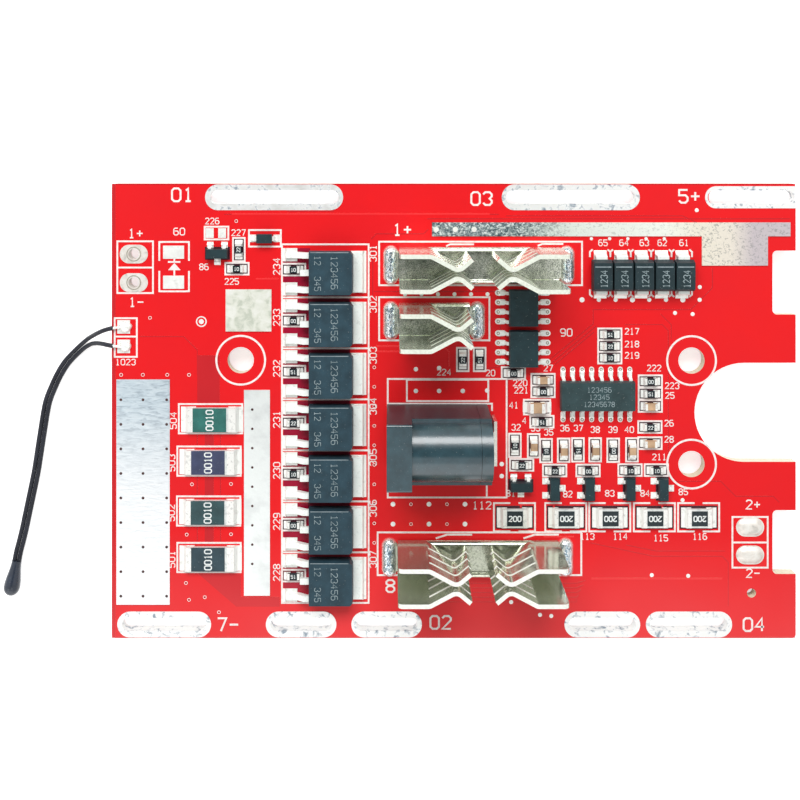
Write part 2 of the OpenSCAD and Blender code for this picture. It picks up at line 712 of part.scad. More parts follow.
module charge_switch(i) color([0.15, 0.2, 0.22])
    translate([switch_at[i - 1][0], switch_at[i - 1][1], seat]) ic_body(switch_l);

module cell_monitor() color([0.13, 0.19, 0.22])
    translate([monitor_at[0], monitor_at[1], seat]) rotate(90) ic_body(monitor_l);

module ic_leads() color([0.86, 0.86, 0.82]) translate([0, 0, seat]) {
    for (p = switch_at) translate(p) gull_leads(4);
    translate(monitor_at) rotate(90) gull_leads(8);
}

module transistors() color([0.15, 0.16, 0.18]) translate([0, 0, seat])
    for (p = transistors_at) at(p)
        moulding(transistor_size[0], transistor_size[1], 0.06, 0.5, transistor_size[2], 6, 6);

module transistor_leads() color([0.86, 0.86, 0.82]) translate([0, 0, seat])
    for (p = transistors_at) at(p) {
        for (s = [-1, 1]) translate([s*transistor_pitch/2, 0, 0]) rotate(90) transistor_lead();
        rotate(-90) transistor_lead();
    }

module transistor_lead() {
    formed_lead(transistor_size[1]/2, transistor_span/2, 0.5, 0.3, transistor_lead[1],
                transistor_lead[0]);
}

module clamp_diode() color([0.15, 0.16, 0.18])
    translate([clamp_diode_at[0], clamp_diode_at[1], seat])
        moulding(clamp_diode_size[0], clamp_diode_size[1], 0.05, 0.5, clamp_diode_size[2], 7, 7);

module clamp_diode_leads() color([0.86, 0.86, 0.82])
    translate([clamp_diode_at[0], clamp_diode_at[1], seat]) both_ends()
        formed_lead(clamp_diode_size[0]/2, clamp_diode_span/2, 0.5, 0.35, 0.15, 0.6);

// ---- Chips ----

module chip_core(chip) {
    translate([0, 0, chip[2]/2])
        cube([chip[0] - 2*cap_t, chip[1], chip[2] - 2*cap_t], center = true);
}

module chip_ends(chip) {
    difference() {
        both_ends() translate([chip[0]/2 - chip[3], -chip[1]/2, 0])
            cube([chip[3], chip[1], chip[2]]);
        translate([0, 0, chip[2]/2])
            cube([chip[0] - 2*cap_t, 2*chip[1], chip[2] - 2*cap_t], center = true);
    }
}

module shunt(i) color([0.22, 0.28, 0.32]) translate([0, 0, seat])
    at(shunts_at[i - 1]) chip_core(chip_shunt);

module shunt_caps() color([0.88, 0.88, 0.86]) translate([0, 0, seat])
    for (p = shunts_at) at(p) chip_ends(chip_shunt);

module balance_resistor(i) color([0.1, 0.12, 0.14]) translate([0, 0, seat])
    at(balance_at[i - 1]) chip_core(chip_balance);

module balance_resistor_caps() color([0.88, 0.88, 0.86]) translate([0, 0, seat])
    for (p = balance_at) at(p) chip_ends(chip_balance);

module chip_resistors() color([0.12, 0.13, 0.15]) translate([0, 0, seat])
    for (p = resistors_at) at(p) chip_core(chip_small);

module chip_capacitors() color([0.72, 0.58, 0.42]) translate([0, 0, seat]) {
    for (p = capacitors_at) at(p) chip_core(chip_capacitor);
    at(large_capacitor_at) chip_core(chip_medium);
}

module chip_caps() color([0.88, 0.88, 0.86]) translate([0, 0, seat]) {
    for (p = resistors_at) at(p) chip_ends(chip_small);
    for (p = capacitors_at) at(p) chip_ends(chip_capacitor);
    at(large_capacitor_at) chip_ends(chip_medium);
}

// ---- Contact clips ----

// Section of the clip's channel: a floor with low, rounded-up edges
module channel_half(w, h, r) {
    translate([-w/2, r]) square([w, h - r]);
    translate([r - w/2, 0]) square([w - 2*r, h]);
    for (s = [-1, 1]) translate([s*(w/2 - r), r]) circle(r);
}

module channel_section() {
    difference() {
        channel_half(clip_w + sheet_t, base_h, bend_r);
        translate([0, sheet_t]) channel_half(clip_w - sheet_t, base_h, bend_r - sheet_t);
    }
}

// One wall: plain at its end, then slit into fingers that close and open again
module clip_wall() {
    path = rounded_path([[0, clip_w/2], [plain_l, clip_w/2], [plain_l + closing_l, pinch_w/2],
                         [half_clip_l, mouth_w/2]], 1);
    difference() {
        translate([0, 0, bend_r]) linear_extrude(clip_h - bend_r) ribbon(path, sheet_t);
        translate([plain_l, -clip_w, 0]) cube([half_clip_l, 3*clip_w, base_h + slit_w]);
        for (i = [1:finger_count - 1])
            translate([plain_l, -clip_w, base_h + i*(finger_h + slit_w)])
                cube([half_clip_l, 3*clip_w, slit_w]);
        translate([0, 2*clip_w, clip_h - wall_corner_r]) rotate([90, 0, 0]) linear_extrude(3*clip_w)
            difference() {
                translate([-1, 0]) square([1 + wall_corner_r, 1 + wall_corner_r]);
                translate([wall_corner_r, 0]) circle(wall_corner_r);
            }
    }
}

// Leg that turns down from the floor's end and goes through the laminate
module clip_leg() {
    across(leg_w) ribbon(rounded_path([[0.2, sheet_t/2], [-leg_out, sheet_t/2], [-leg_out, -top]],
                                      leg_bend_r), sheet_t);
}

module clip_end() {
    clip_wall();
    mirror([0, 1, 0]) clip_wall();
}

module clip_channel(l) {
    along(l) channel_section();
    clip_leg();
    translate([l, 0, 0]) mirror([1, 0, 0]) clip_leg();
}

module double_clip() {
    clip_channel(double_clip_l);
    clip_end();
    translate([double_clip_l, 0, 0]) mirror([1, 0, 0]) clip_end();
}

module positive_clip() color([0.78, 0.79, 0.75])
    translate([positive_clip_at[0], positive_clip_at[1], top]) double_clip();

module negative_clip() color([0.78, 0.79, 0.75])
    translate([negative_clip_at[0], negative_clip_at[1], top]) double_clip();

module charge_clip() color([0.78, 0.79, 0.75])
    translate([charge_clip_at[0], charge_clip_at[1], top]) {
        clip_channel(charge_clip_l);
        clip_end();
    }

clips = [[positive_clip_at, double_clip_l], [charge_clip_at, charge_clip_l],
         [negative_clip_at, double_clip_l]];
leg_places = [for (c = clips) each [c[0] - [leg_out, 0], c[0] + [c[1] + leg_out, 0]]];

// Mound on top of the laminate and fillet round the tail under it, with the leg left out of both
module lead_solder() color([0.82, 0.85, 0.88]) {
    for (c = clips) translate([c[0][0], c[0][1], top]) {
        leg_joint();
        translate([c[1], 0, 0]) mirror([1, 0, 0]) leg_joint();
    }
    for (p = contact_places) translate([p[0], p[1], under]) rotate(p[2])
        tail_fillet(contact_t, contact_w);
}

module leg_joint() {
    difference() {
        union() {
            translate([-leg_out - mound_shift, 0, 0]) oval_dome(mound_l, mound_w, mound_h);
            translate([-leg_out, 0, -board_t]) mirror([0, 0, 1])
                oval_dome(leg_w + fillet_margin, sheet_t + fillet_margin, fillet_h);
        }
        clip_leg();
    }
}

module tail_fillet(t, w) {
    difference() {
        mirror([0, 0, 1]) oval_dome(w + fillet_margin, t + fillet_margin, fillet_h);
        cube([t, w, 2*top], center = true);
    }
}

// ---- Charging socket ----

contact_places = [[jack_at[0] + rear_leg_x, jack_at[1], 0],
                  [jack_at[0] + sleeve_leg_x, jack_at[1], 0],
                  [jack_at[0] + side_leg[0], jack_at[1] + side_leg[1], 90]];

module jack_section() {
    translate([-jack_w/2, 0]) square([jack_w, jack_side_h]);
    translate([0, jack_axis_h]) circle(jack_barrel_r);
}

// Pockets for the contacts, grown by the running gap
module jack_pockets() {
    g = contact_gap;
    translate([sleeve_start_x - 0.3, -contact_w/2 - g, bore_floor - 0.8])
        cube([sleeve_leg_x + contact_t/2 + g - sleeve_start_x + 0.3, contact_w + 2*g, 1.2]);
    translate([sleeve_leg_x - contact_t/2 - g, -contact_w/2 - g, -1])
        cube([contact_t + 2*g, contact_w + 2*g, bore_floor + 1]);
    translate([side_leg[0] - contact_w/2 - g, side_leg[1] - contact_t/2 - g, -1])
        cube([contact_w + 2*g, contact_t + 2*g, side_leg_h + g + 1]);
}

module jack_housing() color([0.13, 0.19, 0.21]) translate([jack_at[0], jack_at[1], top])
    difference() {
        union() {
            along(jack_front_l) translate([0, jack_h/2]) rounded_rect(jack_w, jack_h, 0.3);
            along(jack_cap_x - seam_w) jack_section();
        }
        translate([-1, 0, jack_axis_h]) rotate([0, 90, 0])
            cylinder(h = jack_bore_depth + 1, r = jack_bore_r);
        translate([0, 0, jack_axis_h]) rotate([0, 90, 0])
            cylinder(h = jack_l, r = pin_neck_r + pin_clearance);
        jack_pockets();
    }

module jack_rear_cap() color([0.14, 0.2, 0.22]) translate([jack_at[0], jack_at[1], top])
    difference() {
        translate([jack_cap_x, 0, 0]) along(jack_cap_l) jack_section();
        translate([jack_cap_x - 1, -contact_w/2 - contact_gap, pin_strip_low - contact_gap])
            cube([1 + contact_t + contact_gap, contact_w + 2*contact_gap,
                  pin_strip_top + 2*contact_gap - pin_strip_low]);
        translate([jack_cap_x - 1, -contact_w/2 - contact_gap, pin_strip_low - contact_gap])
            cube([jack_l, contact_w + 2*contact_gap, contact_t + 2*contact_gap]);
        translate([jack_cap_x, 0, jack_axis_h]) rotate([0, 90, 0])
            cylinder(h = contact_t + 2*pin_head_l, r = jack_pin_r + pin_head_l);
    }

// Centre pin: its shoulder seats on the bore's inner end, and it is headed over behind the strip
module jack_pin() color([0.85, 0.84, 0.78])
    translate([jack_at[0], jack_at[1], top + jack_axis_h]) rotate([0, 90, 0]) {
        translate([0, 0, pin_start]) cylinder(h = pin_tip_l, r1 = 0.7*jack_pin_r, r2 = jack_pin_r);
        translate([0, 0, pin_start + pin_tip_l])
            cylinder(h = jack_bore_depth - pin_start - pin_tip_l, r = jack_pin_r);
        translate([0, 0, jack_bore_depth])
            cylinder(h = jack_cap_x - jack_bore_depth, r = pin_neck_r);
        translate([0, 0, jack_cap_x]) cylinder(h = contact_t, r = pin_rivet_r);
        translate([0, 0, jack_cap_x + contact_t]) cylinder(h = pin_head_l, r = jack_pin_r);
    }

module jack_contacts() color([0.88, 0.87, 0.82]) translate([jack_at[0], jack_at[1], top]) {
    difference() {
        union() {
            across(contact_w) ribbon([
                [jack_cap_x + contact_t/2, pin_strip_top],
                [jack_cap_x + contact_t/2, pin_strip_low + contact_t/2],
                [rear_leg_x, pin_strip_low + contact_t/2],
                [rear_leg_x, -top]], contact_t);
            translate([jack_l + rear_plate_out, -rear_plate_w/2, rear_plate_z[0]])
                cube([contact_t, rear_plate_w, rear_plate_z[1] - rear_plate_z[0]]);
        }
        translate([jack_cap_x - 1, 0, jack_axis_h]) rotate([0, 90, 0])
            cylinder(h = 2, r = pin_rivet_r);
    }
    across(contact_w) ribbon(rounded_path([
        [sleeve_start_x, bore_floor - 0.3], [sleeve_crown_x, bore_floor + 0.3],
        [sleeve_leg_x, bore_floor - 0.3],
        [sleeve_leg_x, -top]], 0.25), contact_t);
    translate([side_leg[0] - contact_w/2, side_leg[1] - contact_t/2, -top])
        cube([contact_w, contact_t, top + side_leg_h]);
}

// ---- Temperature probe ----

// Level side direction of the lead at point i
function lead_side(i) =
    let (last = len(lead_route) - 1,
         a = lead_route[max(i - 1, 0)],
         b = lead_route[min(i + 1, last)],
         d = [b[0] - a[0], b[1] - a[1]])
    [d[1], -d[0], 0]/norm(d);

function wire_point(i, s) =
    let (p = lead_route[i]) [p[0], p[1], p[2]] + lead_side(i)*s*p[3];

// Tube of 8 sides with one ring at each point of the route
module wire(s) {
    sides = 8;
    points = [for (i = [0:len(lead_route) - 1]) wire_point(i, s)];
    last = len(points) - 1;
    rings = [for (i = [0:last])
        let (d = points[min(i + 1, last)] - points[max(i - 1, 0)],
             along_d = d/norm(d),
             across_d = cross([0, 0, 1], along_d)/norm(cross([0, 0, 1], along_d)),
             up_d = cross(along_d, across_d))
        each [for (k = [0:sides - 1])
            points[i] + wire_d/2*(cos(360*k/sides)*across_d + sin(360*k/sides)*up_d)]];
    faces = concat(
        [[for (k = [sides - 1:-1:0]) k]],
        [for (i = [0:last - 1], k = [0:sides - 1]) each [
            [i*sides + k, i*sides + (k + 1)%sides, (i + 1)*sides + (k + 1)%sides],
            [i*sides + k, (i + 1)*sides + (k + 1)%sides, (i + 1)*sides + k]]],
        [[for (k = [0:sides - 1]) last*sides + k]]);
    polyhedron(rings, [for (f = faces) [for (j = [len(f) - 1:-1:0]) f[j]]]);
}

module ntc_wire_a() color([0.1, 0.1, 0.11]) wire(1);

module ntc_wire_b() color([0.1, 0.1, 0.11]) wire(-1);

// Radius of the bead between its neck and its widest part, at the share s of its length
function bead_r(s) =
    bead_neck_r + (bead_d/2 - bead_neck_r)*(1 - cos(180*s/bead_widest))/2;

// The bead carries on from the end of the wires and lies on its widest part
module ntc_bead() color([0.1, 0.1, 0.11]) {
    from = lead_route[len(lead_route) - 1];
    before = lead_route[len(lead_route) - 2];
    bearing = atan2(from[1] - before[1], from[0] - before[0]);
    rise = asin((bead_d/2 + bead_clearance - from[2])/(bead_widest*bead_l));
    translate([from[0], from[1], from[2]]) rotate([0, 0, bearing]) rotate([0, 90 - rise, 0])
        translate([0, 0, bead_clearance]) rotate_extrude() polygon(concat(
            [[0, 0]],
            [for (s = [0:0.1:1]) [bead_r(s*bead_widest), s*bead_widest*bead_l]],
            [for (a = [15:15:75])
                [bead_d/2*cos(a), (bead_widest + (1 - bead_widest)*sin(a))*bead_l]],
            [[0, bead_l]]));
}

// ---- Parts drawn ----

circuit_board();
cell_slot_plating();
upper_bus();
left_bus();
middle_bus();
solder_lands();
wire_lands();
lead_solder();
for (i = numbers(mosfet_count)) {
    mosfet(i);
    mosfet_leads(i);
}
for (i = numbers(4)) shunt(i);
shunt_caps();
for (i = numbers(diode_count)) cell_diode(i);
cell_diode_leads();
for (i = numbers(2)) charge_switch(i);
cell_monitor();
ic_leads();
for (i = numbers(5)) balance_resistor(i);
balance_resistor_caps();
transistors();
transistor_leads();
chip_resistors();
chip_capacitors();
chip_caps();
clamp_diode();
clamp_diode_leads();
positive_clip();
charge_clip();
negative_clip();
jack_housing();
jack_rear_cap();
jack_pin();
jack_contacts();
ntc_wire_a();
ntc_wire_b();
ntc_bead();
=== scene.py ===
"""Looks of the battery management board: lead, light, materials, solder, printed legend and markings.

Lengths are in millimetres until a mesh is written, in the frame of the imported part.
"""
import itertools
import json
import math

import bmesh
import bpy
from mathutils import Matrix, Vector


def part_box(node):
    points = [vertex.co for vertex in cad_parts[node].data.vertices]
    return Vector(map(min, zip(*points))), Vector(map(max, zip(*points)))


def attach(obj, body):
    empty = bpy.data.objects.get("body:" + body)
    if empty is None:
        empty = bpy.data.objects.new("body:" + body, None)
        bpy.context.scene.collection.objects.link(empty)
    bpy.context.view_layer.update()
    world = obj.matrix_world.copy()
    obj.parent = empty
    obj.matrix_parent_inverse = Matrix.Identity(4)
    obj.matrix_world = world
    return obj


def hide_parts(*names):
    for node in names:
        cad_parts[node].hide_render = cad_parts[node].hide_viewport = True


MM = 0.001
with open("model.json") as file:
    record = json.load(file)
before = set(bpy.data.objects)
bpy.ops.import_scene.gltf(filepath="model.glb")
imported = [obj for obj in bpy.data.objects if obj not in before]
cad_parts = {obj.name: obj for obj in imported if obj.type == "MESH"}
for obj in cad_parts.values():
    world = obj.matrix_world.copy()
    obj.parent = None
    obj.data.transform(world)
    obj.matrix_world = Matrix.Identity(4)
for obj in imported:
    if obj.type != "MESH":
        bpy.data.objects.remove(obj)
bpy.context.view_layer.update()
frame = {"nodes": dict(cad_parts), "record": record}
nodes = frame["nodes"]
BODY = "root"


def box_mm(node):
    """Lowest and highest corner of a CAD node, in millimetres."""
    low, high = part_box(node)
    return [v / MM for v in low], [v / MM for v in high]


def row_of(stem, count):
    """Names of the numbered nodes in a row of equal packages."""
    return ["%s_%d" % (stem, n) for n in range(1, count + 1)]


MOSFETS = row_of("mosfet", 7)
SHUNTS = row_of("shunt", 4)
DIODES = row_of("cell_diode", 5)
BALANCERS = row_of("balance_resistor", 5)

(WEST, SOUTH, _), (EAST, NORTH, TOP) = box_mm("circuit_board")
LAND_H = 0.06
LAND_TOP = box_mm("solder_lands")[0][2] + LAND_H

# ------------------------------------------------ camera

camera_data = bpy.data.cameras.new("camera")
camera_data.sensor_width = 36
camera_data.lens = 48.6
camera_data.shift_x = 0.01
camera_data.shift_y = -0.32125
camera_data.clip_start = 0.01
camera = bpy.data.objects.new("camera", camera_data)
camera.location = (-8.233*MM, 35.707*MM, 146.9*MM)
bpy.context.scene.collection.objects.link(camera)
bpy.context.scene.camera = camera
bpy.context.scene.view_settings.view_transform = "Standard"

# ------------------------------------------------ node graphs


class Look:
    """One procedural material. Textures run in object space, so sizes are in millimetres."""

    def __init__(self, name, colour, roughness=0.5, metallic=0.0, **fixed):
        self.material = bpy.data.materials.new(name)
        self.material.use_nodes = True
        self.tree = self.material.node_tree
        self.shader = self.tree.nodes["Principled BSDF"]
        self.place = self.tree.nodes.new("ShaderNodeTexCoord").outputs["Object"]
        self.set("Base Color", colour)
        self.set("Roughness", roughness)
        self.set("Metallic", metallic)
        for socket, value in fixed.items():
            self.set(socket.replace("_", " "), value)

    def put(self, target, value):
        """Links another node's output to an input, or sets a number or a colour on it."""
        if isinstance(value, bpy.types.NodeSocket):
            self.tree.links.new(value, target)
        elif isinstance(value, tuple):
            target.default_value = (*value, 1)
        else:
            target.default_value = value

    def set(self, socket, value):
        """Puts a constant or another node's output on one of the shader's inputs."""
        self.put(self.shader.inputs[socket], value)

    def base(self):
        """The output that the shader takes its colour from."""
        return self.shader.inputs["Base Color"].links[0].from_socket

    def node(self, kind, *inputs, **settings):
        made = self.tree.nodes.new("ShaderNode" + kind)
        for key, value in settings.items():
            setattr(made, key, value)
        for target, value in zip(made.inputs, inputs):
            self.put(target, value)
        return made

    def stretched(self, stretch):
        """Object space scaled by a factor along each axis, for streaks."""
        scaled = self.node("VectorMath", self.place, operation="MULTIPLY")
        scaled.inputs[1].default_value = stretch
        return scaled.outputs[0]

    def noise(self, size, detail=3.0, stretch=None, warp=0.0):
        """Cloudy noise from 0 to 1 with patches about size millimetres across."""
        made = self.tree.nodes.new("ShaderNodeTexNoise")
        self.put(made.inputs["Vector"], self.stretched(stretch) if stretch else self.place)
        self.put(made.inputs["Scale"], 1/(size*MM))
        self.put(made.inputs["Detail"], detail)
        self.put(made.inputs["Roughness"], 0.55)
        self.put(made.inputs["Distortion"], warp)
        return made.outputs["Fac"]

    def ramp(self, factor, *stops):
        """Colours, or greys, at places from 0 to 1, as (place, colour)."""
        made = self.node("ValToRGB", factor)
        points = made.color_ramp.elements
        while len(points) < len(stops):
            points.new(0.5)
        for point, (place, colour) in zip(points, stops):
            point.position = place
            point.color = (*colour, 1) if isinstance(colour, tuple) else (colour, colour, colour, 1)
        return made.outputs["Color"]

    def mix(self, factor, a, b):
        """Colour a where factor is 0 and colour b where it is 1."""
        made = self.node("Mix", data_type="RGBA")
        for target, value in zip((made.inputs[0], made.inputs[6], made.inputs[7]), (factor, a, b)):
            self.put(target, value)
        return made.outputs[2]

    def maths(self, operation, a, b=0.0, clamp=False):
        return self.node("Math", a, b, operation=operation, use_clamp=clamp).outputs[0]

    def axis(self, name):
        """The x, y or z of object space, in millimetres."""
        return self.maths("DIVIDE", self.node("SeparateXYZ", self.place).outputs[name], MM)

    def rise(self, name, start, per_mm, clamp=True):
        """0 at start on an axis, and up by per_mm for each millimetre beyond it."""
        return self.maths("MULTIPLY", self.maths("SUBTRACT", self.axis(name), start), per_mm, clamp=clamp)

    def levelness(self, normal="True Normal"):
        """From 0 on upright faces to 1 on faces that look straight up or down."""
        normal = self.tree.nodes.new("ShaderNodeNewGeometry").outputs[normal]
        return self.maths("ABSOLUTE", self.node("SeparateXYZ", normal).outputs["Z"])

    def facing_up(self):
        """1 on faces that look up or down, 0 on the sides."""
        return self.maths("GREATER_THAN", self.levelness(), 0.7)

    def bump(self, height, depth):
        """Relief depth millimetres high where height runs from 0 to 1."""
        made = self.tree.nodes.new("ShaderNodeBump")
        self.put(made.inputs["Distance"], depth*MM)
        previous = self.shader.inputs["Normal"].links
        if previous:
            self.put(made.inputs["Normal"], previous[0].from_socket)
        self.put(made.inputs["Height"], height)
        self.set("Normal", made.outputs["Normal"])


def dress(look, *names):
    """Gives CAD nodes a finished material."""
    for name in names:
        for place in nodes[name].material_slots:
            place.material = look.material


# ------------------------------------------------ materials

MASK_RED = (0.77, 0.009, 0.012)
MASK_SHADE = (0.71, 0.010, 0.015)
MASK_GLARE = (0.82, 0.085, 0.090)
MASK_BARE = (0.56, 0.016, 0.022)
# Painted shadow: the mask's colour in the gaps between the power devices.
MASK_GAP_SHADOW = (0.16, 0.006, 0.020)
# Painted shade: the mask's colour under the power devices' leads.
MASK_LEAD_SHADE = (0.34, 0.004, 0.030)
# Painted shade: the mask's colour round the small chips.
MASK_CHIP_SHADE = (0.055, 0.014, 0.022)
LAMINATE = (0.70, 0.60, 0.42)
FIBRE = (0.82, 0.75, 0.60)
# Painted glare: the mask pales towards the board's south edge, from this y on and by this share a millimetre.
GLARE_START = -16.0
GLARE_RATE = -0.07
# Faces of a clip that look up are cut edges down to this far below its top; under that is its floor.
CUT_EDGE_REACH = 9.2


def mask_look(name, colour, shade):
    """Glossy solder mask, a little uneven, with painted glare towards the south edge and bare laminate
    wherever the board is cut through.
    """
    look = Look(name, colour, roughness=0.30, Specular_IOR_Level=0.22)
    tone = look.ramp(look.noise(9, detail=4), (0.3, colour), (0.75, shade))
    # Painted glare: a paler pink mixed in towards the south edge.
    south = look.rise("Y", GLARE_START, GLARE_RATE)
    tone = look.mix(look.maths("MULTIPLY", south, look.noise(20, detail=2)), tone, MASK_GLARE)
    cut = look.ramp(look.noise(0.35, detail=3, stretch=(1, 1, 4)), (0.35, LAMINATE), (0.65, FIBRE))
    look.set("Base Color", look.mix(look.facing_up(), cut, tone))
    look.bump(look.noise(1.6, detail=2), 0.004)
    return look


board_look = mask_look("board_mask", MASK_RED, MASK_SHADE)
bare_mask = mask_look("mask_on_laminate", MASK_BARE, (0.50, 0.014, 0.020))
# Painted shadow and painted shade, as dark mask colours:
gap_shadow_mask = mask_look("painted_shadow_in_gaps", MASK_GAP_SHADOW, (0.12, 0.005, 0.016))
lead_shade_mask = mask_look("painted_shade_under_leads", MASK_LEAD_SHADE, (0.28, 0.004, 0.026))
chip_shade_mask = mask_look("painted_shade_round_chips", MASK_CHIP_SHADE, (0.045, 0.012, 0.020))
trace_mask = mask_look("mask_on_trace", (0.84, 0.034, 0.038), (0.80, 0.026, 0.030))


def tin_look(name, colour, dark, patch=1.1, wave=0.02, metal=0.75):
    """Hot-tinned copper: bright, cloudy, with soft waves in the solder."""
    look = Look(name, colour, roughness=0.38, metallic=metal)
    cloud = look.noise(patch, detail=5, warp=0.6)
    look.set("Base Color", look.ramp(cloud, (0.30, dark), (0.46, colour), (0.8, (0.9, 0.9, 0.86))))
    look.set("Roughness", look.ramp(cloud, (0.3, 0.5), (0.7, 0.3)))
    look.bump(look.noise(patch*0.7, detail=3), wave)
    return look


def joint_look():
    """Solder mounds round the clip legs: a pale foot under a crown with dark and blue streaks."""
    look = Look("solder_joints", (0.86, 0.88, 0.88), roughness=0.22, metallic=0.8)
    flow = look.noise(0.8, detail=5, stretch=(1.6, 0.8, 1), warp=1.4)
    crown = look.ramp(flow, (0.34, (0.84, 0.89, 0.90)), (0.43, (0.05, 0.08, 0.11)),
                      (0.48, (0.36, 0.50, 0.60)), (0.55, (0.92, 0.94, 0.93)),
                      (0.64, (0.08, 0.11, 0.12)), (0.72, (0.88, 0.91, 0.90)))
    climb = look.rise("Z", TOP + 0.50, 1.8, clamp=False)
    ragged = look.maths("MULTIPLY", look.noise(0.9, detail=3), 0.5)
    climb = look.maths("ADD", climb, ragged, clamp=True)
    look.set("Base Color", look.mix(climb, (0.93, 0.90, 0.84), crown))
    look.bump(look.noise(0.7, detail=3), 0.16)
    return look


tin = tin_look("tin_lands", (0.91, 0.93, 0.89), (0.68, 0.69, 0.65), metal=0.4)
wire_tin = tin_look("wire_lands", (0.74, 0.70, 0.64), (0.52, 0.50, 0.46), metal=0.3)
slot_tin = tin_look("slot_plating", (0.88, 0.89, 0.88), (0.24, 0.30, 0.36), patch=0.8, metal=0.6)
joint_tin = joint_look()
lead_tin = tin_look("tinned_leads", (0.92, 0.97, 0.93), (0.76, 0.79, 0.75), patch=0.5, wave=0.006, metal=0.15)
cap_tin = tin_look("chip_ends", (0.90, 0.90, 0.86), (0.56, 0.56, 0.54), patch=0.4, wave=0.008, metal=0.55)


def left_bus_look():
    """Broad flat solder with fine wrinkles and painted reflection: white at its south end, blue-grey from y =
    -11 mm on.
    """
    look = Look("left_bus_solder", (0.84, 0.88, 0.90), roughness=0.34, metallic=0.7)
    wrinkle = look.noise(0.55, detail=5, stretch=(0.35, 1.5, 1), warp=0.9)
    # Painted reflection: the tone runs from white to blue-grey along y.
    reflection_blend = look.rise("Y", -11.0, 0.085)
    blue = look.ramp(wrinkle, (0.30, (0.36, 0.44, 0.50)), (0.50, (0.62, 0.72, 0.78)),
                     (0.8, (0.78, 0.86, 0.90)))
    white = look.ramp(wrinkle, (0.2, (0.80, 0.84, 0.86)), (0.6, (0.90, 0.92, 0.93)))
    look.set("Base Color", look.mix(reflection_blend, white, blue))
    look.bump(wrinkle, 0.03)
    return look


def upper_bus_look():
    """Crackled solder with painted reflection: dark and grainy at its west end, pale in the middle, cream and
    lilac in the east.
    """
    look = Look("upper_bus_solder", (0.76, 0.78, 0.70), roughness=0.36, metallic=0.75)
    crackle = look.noise(0.34, detail=6, stretch=(0.8, 1, 1), warp=1.0)
    # Painted reflection: the tones change along x, dark and grainy towards the west.
    along = look.rise("X", -4.0, 0.0205)
    tone = look.ramp(along, (0.30, (0.60, 0.69, 0.64)), (0.42, (0.84, 0.90, 0.82)),
                     (0.66, (0.92, 0.95, 0.86)), (0.74, (0.88, 0.83, 0.70)),
                     (0.84, (0.84, 0.78, 0.68)), (0.90, (0.60, 0.54, 0.56)))
    depth = look.ramp(along, (0.30, 0.75), (0.42, 0.30), (0.68, 0.25), (0.78, 0.60), (0.88, 0.45))
    line = look.ramp(crackle, (0.38, 1.0), (0.46, 0.0))
    pale = look.mix(look.maths("MULTIPLY", depth, line), tone, (0.16, 0.18, 0.17))
    grain = look.ramp(crackle, (0.36, (0.05, 0.09, 0.11)), (0.47, (0.20, 0.27, 0.29)),
                      (0.53, (0.40, 0.48, 0.49)), (0.62, (0.84, 0.90, 0.88)))
    west_dark_reflection = look.ramp(along, (0.26, 1.0), (0.40, 0.0))
    look.set("Base Color", look.mix(west_dark_reflection, pale, grain))
    look.bump(crackle, 0.04)
    return look


def middle_bus_look():
    """The middle strip is smooth; the square test land north of it is cream and mottled."""
    look = Look("middle_bus_solder", (0.84, 0.88, 0.86), roughness=0.36, metallic=0.7)
    square = look.maths("GREATER_THAN", look.axis("Y"), 9.0)
    strip = look.ramp(look.noise(2.4, detail=4), (0.3, (0.74, 0.77, 0.76)), (0.55, (0.88, 0.92, 0.90)))
    land = look.ramp(look.noise(1.3, detail=6, warp=0.5), (0.36, (0.58, 0.62, 0.52)),
                     (0.47, (0.76, 0.78, 0.68)), (0.62, (0.86, 0.87, 0.80)))
    look.set("Base Color", look.mix(square, strip, land))
    look.set("Metallic", look.maths("SUBTRACT", 0.7, look.maths("MULTIPLY", square, 0.4)))
    look.bump(look.noise(0.6, detail=4), 0.02)
    return look


def clip_sheet_look():
    """Bright rolled sheet with pale cut edges. The south clip is the darker one."""
    look = Look("tinned_clip_sheet", (0.56, 0.60, 0.51), roughness=0.12, metallic=0.88)
    streak = look.noise(0.8, detail=4, stretch=(1, 1, 0.12))
    fleck = look.noise(0.21, detail=2)
    tone = look.ramp(streak, (0.3, (0.72, 0.77, 0.64)), (0.5, (0.88, 0.92, 0.79)), (0.75, (0.96, 0.98, 0.90)))
    tone = look.mix(look.ramp(fleck, (0.50, 0.0), (0.60, 0.55)), tone, (0.26, 0.30, 0.24))
    south = look.maths("LESS_THAN", look.axis("Y"), 0.0)
    tone = look.mix(look.maths("MULTIPLY", south, 0.55), tone, (0.30, 0.32, 0.22))
    raised = look.maths("GREATER_THAN", look.axis("Z"), box_mm("positive_clip")[1][2] - CUT_EDGE_REACH)
    cut_edge = look.maths("MULTIPLY", look.facing_up(), raised)
    wear = look.noise(0.3, detail=3)
    edge = look.mix(south, look.ramp(wear, (0.3, (0.68, 0.71, 0.61)), (0.6, (0.80, 0.84, 0.74))),
                    look.ramp(wear, (0.3, (0.80, 0.81, 0.74)), (0.6, (0.92, 0.93, 0.88))))
    look.set("Base Color", look.mix(cut_edge, tone, edge))
    look.set("Metallic", look.maths("SUBTRACT", 0.80, look.maths("MULTIPLY", cut_edge, 0.62)))
    look.set("Roughness", look.maths("ADD", look.ramp(streak, (0.3, 0.10), (0.7, 0.20)),
                                     look.maths("MULTIPLY", cut_edge, 0.3)))
    look.bump(streak, 0.004)
    look.bump(fleck, 0.006)
    return look


left_bus_tin = left_bus_look()
upper_bus_tin = upper_bus_look()
middle_bus_tin = middle_bus_look()
clip_sheet = clip_sheet_look()


